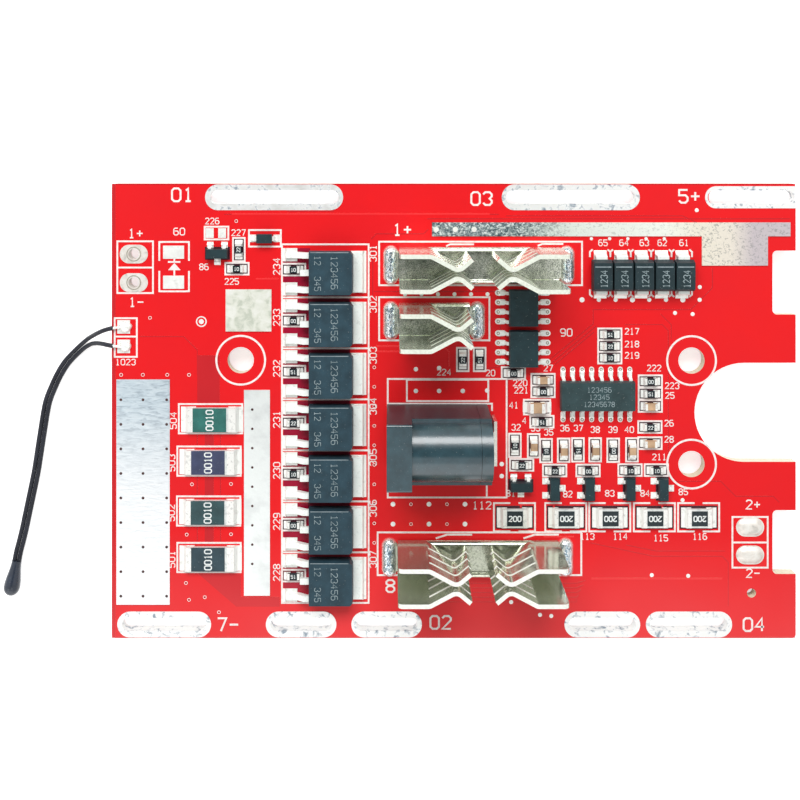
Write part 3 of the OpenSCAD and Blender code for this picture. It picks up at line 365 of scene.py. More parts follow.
def moulding_look(name, colour, roughness=0.5, grain=0.09, gloss=0.3):
    """Moulded epoxy: fine spark-eroded grain, pale specks and faint cloudy wear."""
    look = Look(name, colour, roughness=roughness, Specular_IOR_Level=gloss)
    light = tuple(min(1.0, c*1.35) for c in colour)
    dark = tuple(c*0.72 for c in colour)
    cloud = look.ramp(look.noise(1.8, detail=5), (0.3, dark), (0.5, colour), (0.75, light))
    speck = look.ramp(look.noise(0.22, detail=2), (0.68, 0.0), (0.74, 0.35))
    look.set("Base Color", look.mix(speck, cloud, (0.30, 0.34, 0.34)))
    look.set("Roughness", look.ramp(look.noise(0.6, detail=3), (0.3, roughness*0.9), (0.7, roughness*1.15)))
    look.bump(look.noise(grain, detail=2), 0.006)
    return look


def socket_look():
    """Glossy black plastic with painted shade on its upright sides, which are darker and nearly neutral; they
    are also rougher.
    """
    look = moulding_look("socket_plastic", (0.024, 0.056, 0.070), roughness=0.22, grain=0.3, gloss=0.8)
    # Painted shade on the upright sides, found from the face's normal.
    level = look.maths("MULTIPLY", look.levelness("Normal"), 1.6)
    shaded_flank = look.maths("SUBTRACT", 1.0, level, clamp=True)
    look.set("Base Color", look.mix(shaded_flank, look.base(), (0.013, 0.019, 0.026)))
    look.set("Roughness", look.maths("ADD", 0.21, look.maths("MULTIPLY", shaded_flank, 0.2)))
    return look


def pin_look():
    """Turned and formed metal of the socket's pin and terminals."""
    look = Look("socket_pin", (0.80, 0.80, 0.74), roughness=0.24, metallic=0.9)
    cloud = look.noise(0.7, detail=4)
    look.set("Base Color", look.ramp(cloud, (0.3, (0.66, 0.66, 0.58)), (0.6, (0.88, 0.88, 0.80))))
    look.bump(look.noise(0.3, stretch=(0.1, 1, 1)), 0.003)
    return look


def via_look():
    """Painted shade for the dark inside of an open plated hole, laid on the board as a flat disc."""
    look = Look("via_bore", (0.05, 0.02, 0.02), roughness=0.8)
    look.set("Base Color", look.ramp(look.noise(0.2), (0.3, (0.03, 0.015, 0.015)), (0.7, (0.09, 0.03, 0.03))))
    return look


power_moulding = moulding_look("power_moulding", (0.018, 0.046, 0.064))
diode_moulding = moulding_look("diode_moulding", (0.011, 0.026, 0.031))
ic_moulding = moulding_look("ic_moulding", (0.010, 0.030, 0.036))
monitor_moulding = moulding_look("monitor_moulding", (0.026, 0.052, 0.056))
socket_plastic = socket_look()
COATS = [(0.020, 0.130, 0.110), (0.040, 0.050, 0.105), (0.026, 0.066, 0.072), (0.022, 0.048, 0.062)]
shunt_coats = [moulding_look("shunt_coat_%d" % n, colour, gloss=0.4) for n, colour in enumerate(COATS, 1)]
glaze = moulding_look("resistor_glaze", (0.012, 0.022, 0.026), roughness=0.25, grain=0.3, gloss=0.4)
ceramic = moulding_look("capacitor_ceramic", (0.50, 0.33, 0.20), roughness=0.55, grain=0.1)
substrate = tin_look("resistor_substrate", (0.70, 0.74, 0.72), (0.50, 0.54, 0.54), patch=0.7, wave=0.01,
                     metal=0.4)
insulation = moulding_look("wire_insulation", (0.016, 0.018, 0.026), roughness=0.4, grain=0.3)
probe_resin = moulding_look("probe_resin", (0.018, 0.026, 0.044), roughness=0.28, grain=0.6, gloss=0.6)
pin_metal = pin_look()
bore_shade = via_look()


def ink_look(name, low, high):
    """Screen-printed ink: matt, slightly porous. Also used for the painted highlight on the mouldings."""
    look = Look(name, high, roughness=0.6, Specular_IOR_Level=0.3)
    look.set("Base Color", look.ramp(look.noise(0.5, detail=4), (0.3, low), (0.6, high)))
    look.bump(look.noise(0.12), 0.004)
    return look


white_ink = ink_look("legend_ink", (0.76, 0.66, 0.64), (0.90, 0.83, 0.80))
mark_ink = ink_look("marking_ink", (0.66, 0.70, 0.70), (0.86, 0.90, 0.88))
faint_ink = ink_look("faint_marking", (0.16, 0.22, 0.23), (0.34, 0.42, 0.44))
land_ring = ink_look("land_dimple", (0.22, 0.20, 0.15), (0.40, 0.37, 0.30))
# Painted highlight for the upper edges of the mouldings.
edge_highlight = ink_look("painted_moulding_highlight", (0.16, 0.20, 0.22), (0.28, 0.34, 0.36))

dress(board_look, "circuit_board")
dress(tin, "solder_lands")
dress(wire_tin, "wire_lands")
dress(slot_tin, "cell_slot_plating")
dress(upper_bus_tin, "upper_bus")
dress(left_bus_tin, "left_bus")
dress(middle_bus_tin, "middle_bus")
dress(joint_tin, "lead_solder")
dress(lead_tin, "ic_leads", "transistor_leads", "clamp_diode_leads", "cell_diode_leads",
      *row_of("mosfet_leads", 7))
dress(cap_tin, "chip_caps", "shunt_caps", "balance_resistor_caps")
dress(power_moulding, *MOSFETS)
dress(diode_moulding, *DIODES)
dress(ic_moulding, "charge_switch_1", "charge_switch_2", "transistors", "clamp_diode")
dress(monitor_moulding, "cell_monitor")
dress(substrate, *SHUNTS, *BALANCERS)
dress(glaze, "chip_resistors")
dress(ceramic, "chip_capacitors")
dress(clip_sheet, "positive_clip", "charge_clip", "negative_clip")
dress(socket_plastic, "jack_housing", "jack_rear_cap")
dress(pin_metal, "jack_pin", "jack_contacts")
dress(probe_resin, "ntc_bead")

# ------------------------------------------------ the probe's lead

# Each row: x, y and z of the pair's middle, then half the distance between its two wires.
LEAD_ROUTE = [
    (-43.2, 9.9, 3.27, 1.30), (-44.3, 9.9, 3.28, 1.30), (-45.4, 9.9, 3.30, 1.18), (-46.4, 9.8, 3.05, 0.98),
    (-47.3, 9.6, 2.45, 0.76), (-48.2, 9.3, 1.65, 0.56), (-49.1, 8.9, 0.95, 0.42), (-50.1, 8.2, 0.50, 0.33),
    (-51.2, 7.2, 0.34, 0.31), (-52.4, 5.9, 0.32, 0.31), (-53.4, 4.3, 0.32, 0.31), (-54.2, 2.6, 0.32, 0.31),
    (-54.9, 0.8, 0.32, 0.31), (-55.3, -1.1, 0.32, 0.31), (-55.6, -3.0, 0.32, 0.31), (-55.9, -4.9, 0.32, 0.31),
    (-56.2, -6.9, 0.32, 0.31), (-56.5, -8.8, 0.32, 0.31), (-56.9, -10.8, 0.32, 0.31),
    (-57.3, -12.7, 0.32, 0.31), (-57.7, -14.6, 0.32, 0.31), (-58.1, -16.5, 0.32, 0.31),
    (-58.5, -18.3, 0.45, 0.31), (-58.8, -19.6, 0.62, 0.31), (-59.0, -20.8, 0.74, 0.31),
]
WIRE_RADIUS = 0.3
BARE_SHARE = 0.5
INSULATION_STARTS = -45.3
CURVE_STEPS = 6


def wire_points(side):
    """The centreline of one wire: the pair's route, set off sideways by the half distance."""
    points = []
    for i, (x, y, z, half) in enumerate(LEAD_ROUTE):
        a = LEAD_ROUTE[max(i - 1, 0)]
        b = LEAD_ROUTE[min(i + 1, len(LEAD_ROUTE) - 1)]
        run = Vector((b[0] - a[0], b[1] - a[1])).normalized()
        points.append(Vector((x + run.y*side*half, y - run.x*side*half, z)))
    return points


def smooth_line(points):
    """A Catmull-Rom curve through the points."""
    line = []
    for i in range(len(points) - 1):
        p0, p1 = points[max(i - 1, 0)], points[i]
        p2, p3 = points[i + 1], points[min(i + 2, len(points) - 1)]
        for k in range(CURVE_STEPS):
            t = k/CURVE_STEPS
            line.append(0.5*(2*p1 + (p2 - p0)*t + (2*p0 - 5*p1 + 4*p2 - p3)*t*t
                             + (3*p1 - p0 - 3*p2 + p3)*t*t*t))
    return line + [points[-1]]


def make_wire(name, side):
    """One wire as a round curve, thinner where its end is bare; also its start and length in metres."""
    line = smooth_line(wire_points(side))
    data = bpy.data.curves.new(name, "CURVE")
    data.dimensions = "3D"
    data.bevel_depth = WIRE_RADIUS*MM
    data.bevel_resolution = 5
    data.use_fill_caps = True
    spline = data.splines.new("POLY")
    spline.points.add(len(line) - 1)
    for place, point in zip(spline.points, line):
        place.co = (*(point*MM), 1)
        place.radius = BARE_SHARE if point.x > INSULATION_STARTS else 1
    data.materials.append(insulation.material)
    wire = bpy.data.objects.new(name, data)
    bpy.context.scene.collection.objects.link(wire)
    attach(wire, BODY)
    length = sum((b - a).length for a, b in zip(line, line[1:]))
    return wire, line[0]*MM, length*MM


# The insulation stops at the board's edge, and the bare tinned end runs on to the land.
insulated = insulation.maths("LESS_THAN", insulation.axis("X"), INSULATION_STARTS)
insulation.set("Base Color", insulation.mix(insulated, (0.82, 0.82, 0.78), insulation.base()))
insulation.set("Metallic", insulation.maths("SUBTRACT", 1.0, insulated))

for letter, side in (("a", 1), ("b", -1)):
    wire, start, length = make_wire("probe_wire_" + letter, side)
    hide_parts("ntc_wire_" + letter)

# ------------------------------------------------ mesh tools


def place_mesh(mesh, name, look):
    """Puts a finished mesh into the scene as an object of one material."""
    data = bpy.data.meshes.new(name)
    mesh.to_mesh(data)
    mesh.free()
    data.materials.append(look.material)
    made = bpy.data.objects.new(name, data)
    bpy.context.scene.collection.objects.link(made)
    return made


def turn_round(x, y, radius, sides):
    """Points of a circle, counterclockwise."""
    turns = [2*math.pi*i/sides for i in range(sides)]
    return [(x + radius*math.cos(a), y + radius*math.sin(a)) for a in turns]


class Flat:
    """Collects flat raised shapes, such as ink or pads, and turns them into one closed mesh."""

    def __init__(self):
        self.mesh = bmesh.new()

    def prism(self, ring, low, high):
        """A closed solid over a polygon given counterclockwise."""
        below = [self.mesh.verts.new((x*MM, y*MM, low*MM)) for x, y in ring]
        above = [self.mesh.verts.new((x*MM, y*MM, high*MM)) for x, y in ring]
        self.mesh.faces.new(above)
        self.mesh.faces.new(below[::-1])
        for i in range(len(ring)):
            j = (i + 1) % len(ring)
            self.mesh.faces.new((below[i], below[j], above[j], above[i]))

    def band(self, inner, outer, low, high):
        """A closed ring between two outlines with the same number of points."""
        rows = [[self.mesh.verts.new((x*MM, y*MM, z*MM)) for x, y in ring]
                for ring, z in ((inner, low), (outer, low), (outer, high), (inner, high))]
        for i in range(len(inner)):
            j = (i + 1) % len(inner)
            for a in range(4):
                b = (a + 1) % 4
                self.mesh.faces.new((rows[a][i], rows[a][j], rows[b][j], rows[b][i]))

    def box(self, x0, y0, x1, y1, low, high):
        self.prism([(x0, y0), (x1, y0), (x1, y1), (x0, y1)], low, high)

    def outline(self, x0, y0, x1, y1, width, low, high):
        """A rectangular line of ink; the numbers are the middle of the line."""
        h = width/2
        self.band([(x0 + h, y0 + h), (x1 - h, y0 + h), (x1 - h, y1 - h), (x0 + h, y1 - h)],
                  [(x0 - h, y0 - h), (x1 + h, y0 - h), (x1 + h, y1 + h), (x0 - h, y1 + h)], low, high)

    def circle(self, x, y, radius, low, high, sides):
        self.prism(turn_round(x, y, radius, sides), low, high)

    def ring(self, x, y, inner, outer, low, high, sides):
        self.band(turn_round(x, y, inner, sides), turn_round(x, y, outer, sides), low, high)

    def stroke(self, points, width, low, high):
        """A line of even width through the points, with mitred corners and square ends."""
        points = [Vector(p) for p in points]
        closed = (points[0] - points[-1]).length < 1e-6
        if closed:
            points = points[:-1]
        left, right = [], []
        count = len(points)
        for i, p in enumerate(points):
            before = (p - points[i - 1]).normalized() if i or closed else None
            after = (points[(i + 1) % count] - p).normalized() if i < count - 1 or closed else None
            before, after = before or after, after or before
            bend = (Vector((-before.y, before.x)) + Vector((-after.y, after.x))).normalized()
            reach = min(1.6, 1/max(0.3, bend.dot(Vector((-after.y, after.x)))))*width/2
            left.append(tuple(p + bend*reach))
            right.append(tuple(p - bend*reach))
        if closed:
            self.band(left, right, low, high)
        else:
            self.prism(right + left[::-1], low, high)

    def finish(self, name, look):
        """Hands the shapes over as one piece that rides on the board."""
        bmesh.ops.recalc_face_normals(self.mesh, faces=self.mesh.faces)
        made = place_mesh(self.mesh, name, look)
        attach(made, BODY)


# Plain figures drawn with a pen on a grid four wide and six high.
FIGURES = {
    "0": [[(0, 1), (0, 5), (1, 6), (3, 6), (4, 5), (4, 1), (3, 0), (1, 0), (0, 1)]],
    "1": [[(1, 5), (2, 6), (2, 0)], [(0.8, 0), (3.2, 0)]],
    "2": [[(0, 5), (1, 6), (3, 6), (4, 5), (4, 4), (0, 0), (4, 0)]],
    "3": [[(0, 5), (1, 6), (3, 6), (4, 5), (4, 4), (3, 3), (4, 2), (4, 1), (3, 0), (1, 0), (0, 1)]],
    "4": [[(3, 0), (3, 6), (0, 2), (4, 2)]],
    "5": [[(4, 6), (0, 6), (0, 3.5), (3, 3.5), (4, 2.5), (4, 1), (3, 0), (1, 0), (0, 1)]],
    "6": [[(3.6, 6), (1, 6), (0, 5), (0, 1), (1, 0), (3, 0), (4, 1), (4, 2.5), (3, 3.5), (0.3, 3.5)]],
    "7": [[(0, 6), (4, 6), (1.5, 0)]],
    "8": [[(1, 3), (0, 2), (0, 1), (1, 0), (3, 0), (4, 1), (4, 2), (3, 3), (1, 3)],
          [(1, 3.4), (0, 4.2), (0, 5), (1, 6), (3, 6), (4, 5), (4, 4.2), (3, 3.4), (1, 3.4)]],
    "9": [[(0.4, 0), (3, 0), (4, 1), (4, 5), (3, 6), (1, 6), (0, 5), (0, 3.5), (1, 2.5), (3.7, 2.5)]],
    "+": [[(2, 1), (2, 5)], [(0, 3), (4, 3)]],
    "-": [[(0, 3), (4, 3)]],
}
FIGURE_WIDE = 4
FIGURE_TALL = 6
FIGURE_STEP = 5.6
# Strokes of one figure that cross differ by this much in height.
STROKE_STEP = 0.002


def write(flat, text, x, y, height, low, high, turn=0, pen=0.13, wide=1.0):
    """Draws figures centred on x and y, turned counterclockwise by quarter turns."""
    unit = height/FIGURE_TALL
    step = FIGURE_STEP*wide
    across = (len(text) - 1)*step + FIGURE_WIDE*wide
    for i, letter in enumerate(text):
        for strokes, line in enumerate(FIGURES[letter]):
            points = []
            for u, v in line:
                a, b = (i*step + u*wide - across/2)*unit, (v - FIGURE_TALL/2)*unit
                for _ in range(turn):
                    a, b = -b, a
                points.append((x + a, y + b))
            flat.stroke(points, pen*height, low, high + strokes*STROKE_STEP)


def islands(node):
    """Boxes of a node's separate solids, in millimetres, as (x0, y0, x1, y1, z1), from left to right."""
    mesh = nodes[node].data
    places = {}
    for v in mesh.vertices:
        places.setdefault(tuple(round(c/MM, 3) for c in v.co), len(places))
    parent = list(range(len(places)))

    def root(i):
        while parent[i] != i:
            parent[i] = parent[parent[i]]
            i = parent[i]
        return i

    index = [places[tuple(round(c/MM, 3) for c in v.co)] for v in mesh.vertices]
    for e in mesh.edges:
        parent[root(index[e.vertices[0]])] = root(index[e.vertices[1]])
    groups = {}
    for place, i in places.items():
        groups.setdefault(root(i), []).append(place)
    boxes = [(min(p[0] for p in g), min(p[1] for p in g), max(p[0] for p in g), max(p[1] for p in g),
              max(p[2] for p in g)) for g in groups.values()]
    return sorted(boxes)


def middle(low, high):
    """The x and y of a box's middle."""
    return (low[0] + high[0])/2, (low[1] + high[1])/2


def grown(chip, ends, sides):
    """The outline of one of a node's solids, let out at its two ends and at its long sides."""
    x0, y0, x1, y1, _ = chip
    wide, tall = (ends, sides) if x1 - x0 > y1 - y0 else (sides, ends)
    return x0 - wide, y0 - tall, x1 + wide, y1 + tall


mosfets, shunts, diodes, balancers = [[box_mm(name) for name in names]
                                      for names in (MOSFETS, SHUNTS, DIODES, BALANCERS)]
# In the gaps between the power devices: the y of the face above and of the face below.
mosfet_gaps = [(a[0][1], b[1][1]) for a, b in zip(mosfets, mosfets[1:])]
resistors = islands("chip_resistors")
small_chips = resistors + islands("chip_capacitors")
transistors = islands("transistors")

# ------------------------------------------------ printed legend

LINE = 0.23
PEN = 0.15
INK_H = 0.030
INK_STEP = 0.002
steps = itertools.cycle(range(12))
legend = Flat()


def ink_top():
    """Lines that cross get slightly different heights, so no two faces share a plane."""
    return TOP + INK_H + INK_STEP*next(steps)


def ink_box(x0, y0, x1, y1):
    legend.outline(x0, y0, x1, y1, LINE, TOP, ink_top())


def ink_line(*points):
    legend.stroke(points, LINE, TOP, ink_top())


def ink_corners(x0, y0, x1, y1, reach):
    """A box with a gap in the middle of its top and bottom lines."""
    for end, way in ((x0, 1), (x1, -1)):
        ink_line((end + way*reach, y1), (end, y1), (end, y0), (end + way*reach, y0))


def ink_text(text, x, y, height, turn=0, wide=1.0):
    write(legend, text, x, y, height, TOP, ink_top(), turn, PEN, wide)


# Lands for the tool's lamp leads, the probe, and the two empty places at the upper left.
ink_box(-44.85, 15.7, -40.1, 22.6)
ink_line((-44.85, 19.1), (-40.1, 19.1))
ink_box(37.15, -20.9, 41.85, -14.15)
ink_line((37.15, -17.55), (41.85, -17.55))
ink_box(-45.2, 7.2, -42.25, 12.35)
ink_line((-45.2, 9.9), (-42.25, 9.9))
ink_box(-33.2, 22.85, -30.05, 24.55)
ink_box(-27.3, 21.9, -23.05, 24.1)
for x, inward in ((-39.25, 0.45), (-35.3, -0.45)):
    ink_line((x, 20.0), (x, 22.5), (x + inward, 22.5))
    ink_line((x, 18.65), (x, 15.95), (x + inward, 15.95))
ink_line((-39.25, 22.52), (-35.3, 22.52))
ink_line((-39.25, 15.93), (-35.3, 15.93))
ink_line((-38.1, 19.85), (-36.45, 19.85))
legend.prism([(-38.1, 18.75), (-36.4, 18.75), (-37.25, 19.7)], TOP, ink_top())
ink_line((-37.25, 17.9), (-37.25, 18.8))
ink_line((-37.25, 19.8), (-37.25, 20.4))

# Power devices, with a line between each two, then shunts and clips.
ROW_WEST, ROW_EAST = -22.9, -11.35
ink_box(ROW_WEST, -25.6, ROW_EAST, 22.2)
for above, below in mosfet_gaps:
    ink_line((ROW_WEST, (above + below)/2), (ROW_EAST, (above + below)/2))
for low, high in shunts:
    ink_box(low[0] - 1.3, low[1] - 0.3, high[0] + 0.85, high[1] + 0.4)
ink_box(-9.95, 16.75, 17.1, 22.55)
ink_line((-1.0, 21.95), (-0.5, 22.2), (2.7, 22.2))
ink_line((11.2, 22.0), (11.8, 22.25), (14.6, 22.25))
ink_box(-9.95, 9.4, 4.75, 15.15)
ink_box(-10.15, -21.9, 17.0, -16.2)
ink_line((-2.4, -17.0), (-0.9, -16.5), (2.45, -16.5))
ink_line((9.3, -17.0), (10.8, -16.5), (14.0, -16.5))

# The charging socket's outline and its cut-away rear.
ink_box(-8.8, -11.55, 7.05, 4.25)
ink_box(-6.25, 1.3, 4.6, 4.15)
ink_line((-8.8, 0.95), (5.1, 0.95), (5.1, 0.0))
ink_line((4.4, -9.9), (4.4, -11.55))

# Diodes: two brackets round each end.
for low, high in diodes:
    x = middle(low, high)[0]
    for end, way in ((high[1] + 1.2, -1), (low[1] - 0.9, 1)):
        for side in (-1, 1):
            wing = x + side*1.36
            ink_line((wing, end + way*1.0), (wing, end + way*0.3), (x + side*1.0, end))

# Small chips and the balancing resistors. The chips' boxes lie between the heights of other lines.
for chip in small_chips:
    legend.outline(*grown(chip, 0.8, 0.35), LINE, TOP, ink_top() + INK_STEP/2)
for low, high in balancers:
    ink_corners(low[0] - 1.2, low[1] - 0.62, high[0] + 1.18, high[1] + 0.65, 2.2)

# Screw rings.
mounts = {m["name"]: m for m in frame["record"]["mounts"]}


def mount_xy(name):
    """The x and y of one of the record's mounts, in millimetres."""
    return [v/MM for v in mounts[name]["pos_m"]][:2]


x, y = mount_xy("screw_holes_right")
half_pitch = mounts["screw_holes_right"]["dims"]["spacing_y_mm"]/2
for place in (mount_xy("screw_hole_left"), (x, y + half_pitch), (x, y - half_pitch)):
    legend.ring(*place, 3.12, 3.38, TOP, ink_top(), sides=64)

# Plain counting numbers and signs: large ones, then small ones, then those that run upwards.
for text, x, y, height in (
        ("01", -36.2, 28.8, 1.7), ("03", 3.7, 28.3, 1.7), ("5+", 31.4, 28.6, 1.7), ("1+", -6.85, 24.15, 1.45),
        ("7-", -30.1, -28.5, 1.7), ("8", -8.45, -23.35, 1.6), ("02", -1.75, -28.2, 1.7),
        ("04", 40.0, -28.5, 1.7), ("1+", -42.4, 23.65, 1.15), ("1-", -42.3, 14.5, 1.15),
        ("2+", 39.9, -12.5, 1.15), ("2-", 39.9, -21.65, 1.1), ("60", -36.6, 23.9, 0.9),
        ("1023", -43.75, 6.5, 0.75), ("90", 15.0, 10.45, 0.95), ("112", 3.75, -12.6, 0.95)):
    ink_text(text, x, y, height)
for text, x, y in (
        ("217", 23.75, 10.6), ("218", 23.75, 8.9), ("219", 23.75, 7.4), ("222", 26.7, 5.7),
        ("223", 29.1, 3.35), ("25", 28.8, 2.05), ("26", 28.7, -1.65), ("28", 28.7, -3.8),
        ("211", 27.4, -6.15), ("113", 17.8, -16.75), ("114", 22.2, -16.75), ("115", 27.6, -16.95),
        ("116", 32.8, -16.75), ("32", 8.3, -2.2), ("33", 10.9, -2.3), ("35", 12.65, -2.85),
        ("36", 14.8, -2.3), ("37", 16.6, -2.3), ("38", 18.85, -2.5), ("39", 21.2, -2.5),
        ("40", 23.4, -2.5), ("4", 9.4, -1.3), ("41", 8.0, 0.75),
        ("220", 8.85, 3.72), ("221", 9.0, 2.75), ("27", 12.6, 5.7), ("20", 4.9, 5.05), ("224", -1.3, 5.15),
        ("81", 7.6, -11.0), ("82", 15.2, -11.1), ("83", 20.8, -11.0), ("84", 25.5, -11.0),
        ("85", 30.6, -10.8), ("65", 19.9, 22.4), ("64", 22.7, 22.4), ("63", 25.4, 22.4), ("62", 27.8, 22.4),
        ("61", 30.7, 22.4), ("226", -32.2, 25.3), ("227", -28.7, 23.75), ("86", -33.3, 19.2),
        ("225", -29.6, 17.25)):
    ink_text(text, x, y, 0.78, wide=0.92)
for n, (x0, y0, x1, y1, _) in enumerate(resistors[2:9]):
    ink_text("2%02d" % (28 + n), -23.6, (y0 + y1)/2 + 0.4, 0.85, turn=1)
for n, (low, high) in enumerate(mosfets, 1):
    ink_text("3%02d" % n, -10.75, high[1] - 0.45, 0.85, turn=1)
for n, (low, high) in enumerate(shunts, 1):
    ink_text("50%d" % (5 - n), low[0] - 2.05, low[1] + 1.4, 0.85, turn=1)
legend.finish("printed_legend", white_ink)

# ------------------------------------------------ copper under the mask

# Strips where the copper is etched away show as a darker red; narrow tracks show as a paler one.
ETCH_H = 0.004
TRACK_H = 0.014
COPPER_STEP = 0.0008
etched = Flat()
tracks = Flat()


def etch(*points):
    etched.prism(points, TOP, TOP + ETCH_H + COPPER_STEP*next(steps))


def etch_line(width, *points):
    etched.stroke(points, width, TOP, TOP + ETCH_H + COPPER_STEP*next(steps))


def track(width, *points):
    tracks.stroke(points, width, TOP, TOP + TRACK_H + COPPER_STEP*next(steps))


# A strip along the board's west edge, and a line along its north and south edges.
west, south, north = WEST + 0.02, SOUTH + 0.02, NORTH - 0.02
etch((west, south), (WEST + 0.5, south), (WEST + 0.5, north), (west, north))
etch_line(0.14, (WEST + 0.5, NORTH - 0.1), (EAST - 0.1, NORTH - 0.1))
etch_line(0.14, (WEST + 0.5, SOUTH + 0.1), (EAST - 0.1, SOUTH + 0.1))
etch((-34.2, 1.1), (-31.2, 1.1), (-31.2, 7.4), (-34.2, 7.4))
for upper, lower in zip(shunts, shunts[1:]):
    above, below = upper[0][1] - 0.45, lower[1][1] + 0.55
    etch((-33.2, below), (-32.0, below), (-32.0, above), (-33.2, above))
    etch_line(0.12, (-34.2, above), (-34.2, below))
    etch_line(0.12, (-31.1, above), (-31.1, below))
etch((-34.1, -21.7), (-29.0, -26.1), (-23.2, -26.1), (-23.2, -24.8), (-28.4, -24.8), (-28.4, -21.7))
for width, *points in (
        (0.12, (-41.9, 9.9), (-36.0, 9.9), (-34.2, 8.1), (-34.2, 4.8)), (0.14, (-30.6, 26.2), (6.0, 26.2)),
        (0.14, (7.0, 26.0), (30.5, 26.0), (32.8, 24.9)),
        (0.14, (-11.0, 22.9), (-10.3, 23.6), (-4.0, 23.6), (-3.4, 24.2)), (0.16, (-3.5, 25.6), (44.8, 25.6)),
        (0.14, (-10.6, 15.9), (5.6, 15.9), (6.2, 15.3), (6.2, 5.9), (0.0, 5.0)),
        (0.14, (-10.8, 22.0), (-10.8, 15.0)),
        (0.14, (11.8, 6.0), (18.6, 11.6), (18.6, 13.5), (31.6, 13.5), (34.5, 16.4), (34.5, 19.0)),
        (0.14, (12.6, 6.0), (19.0, 11.3)), (0.14, (13.4, 6.1), (18.7, 10.5))):
    etch_line(width, *points)
etch((7.1, -11.4), (7.35, -11.4), (7.35, 4.1), (7.1, 4.1))
etch((-8.6, 1.2), (4.95, 1.2), (4.95, -8.2), (-8.6, -8.2))
for n in range(5):
    y = -23.0 - 0.62*n
    etch_line(0.10, (17.6 - 0.3*n, y + 0.4), (16.4, y), (-2.0 + 0.4*n, y), (-2.8, y - 0.5))
for points in (
        [(18.2, -17.6), (26.6, -19.4), (35.8, -19.4), (36.6, -20.2), (36.6, -26.0)],
        [(23.0, -17.9), (27.0, -18.7), (36.2, -18.7)],
        [(29.4, -9.4), (35.6, -9.4), (37.6, -11.4), (42.6, -11.4), (43.4, -12.2)],
        [(27.6, 12.9), (29.0, 11.5), (29.0, 9.6)],
        [(22.8, 11.5), (27.8, 11.5), (28.6, 10.7), (28.6, -8.8)], [(-22.2, 26.6), (-16.0, 26.6)]):
    etch_line(0.12, *points)
for width, *points in (
        (0.22, (-29.6, 26.25), (4.8, 26.25)), (0.20, (-26.4, 17.6), (-23.4, 17.6)),
        (0.20, (-10.4, 8.6), (-1.4, 8.6), (-0.6, 7.8), (-0.6, 5.9)), (0.20, (-10.4, 7.9), (-2.2, 7.9)),
        (0.20, (12.0, -16.8), (16.0, -16.8)), (0.25, (18.4, -22.4), (35.8, -22.4))):
    track(width, *points)
for x0, y0, x1, y1, _ in transistors[1:]:
    track(0.25, ((x0 + x1)/2, y0 - 0.15), ((x0 + x1)/2, -12.9))

# Painted shade and painted shadow: the mask is drawn darker where parts stand over it or crowd it: in the
# gaps between the power devices, under their leads, and round the small chips.
gaps = Flat()
# Painted shadow in each gap between two power devices.
for (low, high), (above, below) in zip(mosfets, mosfet_gaps):
    x0, x1, line = low[0] - 0.2, high[0] - 0.5, (above + below)/2
    gaps.box(x0, below - 0.5, x1, line - 0.14, TOP, TOP + 0.01)
    gaps.box(x0, line + 0.14, x1, above + 0.5, TOP, TOP + 0.01)
under = Flat()
# Painted shade where the power devices' leads stand over the mask.
for low, high in mosfets:
    under.box(-22.7, low[1] - 0.2, low[0] + 0.1, high[1] + 0.25, TOP, TOP + 0.007)
round_chips = Flat()
# Painted shade round the small chips, the balancing resistors and the transistors.
for chip in small_chips:
    round_chips.box(*grown(chip, 0.68, 0.24), TOP, TOP + 0.009 + COPPER_STEP*next(steps))
for low, high in balancers:
    round_chips.box(low[0] - 0.98, low[1] - 0.28, high[0] + 0.98, high[1] + 0.30, TOP, TOP + 0.012)
for chip in transistors:
    round_chips.box(*grown(chip, 0.22, 0.22), TOP, TOP + 0.010)
under.finish("painted_shade_under_leads", lead_shade_mask)
round_chips.finish("painted_shade_round_chips", chip_shade_mask)
gaps.finish("shaded_gaps", gap_shadow_mask)
etched.finish("etched_strips", bare_mask)
tracks.finish("masked_tracks", trace_mask)

# ------------------------------------------------ plated through-holes

via_rims = Flat()
via_bores = Flat()


def via(x, y, radius, filled=True):
    """A plated hole: a filled one is a small tin button, an open one a thin rim round a disc of painted shade
    for its bore.
    """
    if filled:
        via_rims.circle(x, y, radius, TOP, TOP + 0.02, sides=16)
        via_rims.circle(x, y, radius*0.6, TOP + 0.02, TOP + 0.05, sides=12)
    else:
        via_rims.ring(x, y, radius*0.62, radius*0.85, TOP, TOP + 0.018, sides=16)
        via_bores.circle(x, y, radius*0.3, TOP, TOP + 0.012, sides=12)


# Left of the socket, one column; round the socket and the clips, short rows.
for n in range(10):
    via(-10.6, 5.8 - 2.6*n, 0.26, filled=False)
for y in (-12.45, -15.1):
    for n in range(5):
        via(-8.1 + 2.4*n, y, 0.32 if n % 2 == 0 else 0.26, filled=n % 2 == 0)
for x, y in ((-5.05, 2.65), (-1.95, 2.65), (1.2, 2.65), (4.45, 2.7), (6.4, -7.1), (6.4, -8.7),
             (-5.05, 5.55), (-1.95, 5.7)):
    via(x, y, 0.30)
for n in range(6):
    via(-6.5 + 2.2*n, 15.55, 0.27)
for n in range(8):
    via(17.1 + 2.24*n, 14.8, 0.34 if n % 3 == 0 else 0.28)
for n in range(5):
    via(18.35 + 2.43*n, 22.95, 0.22)

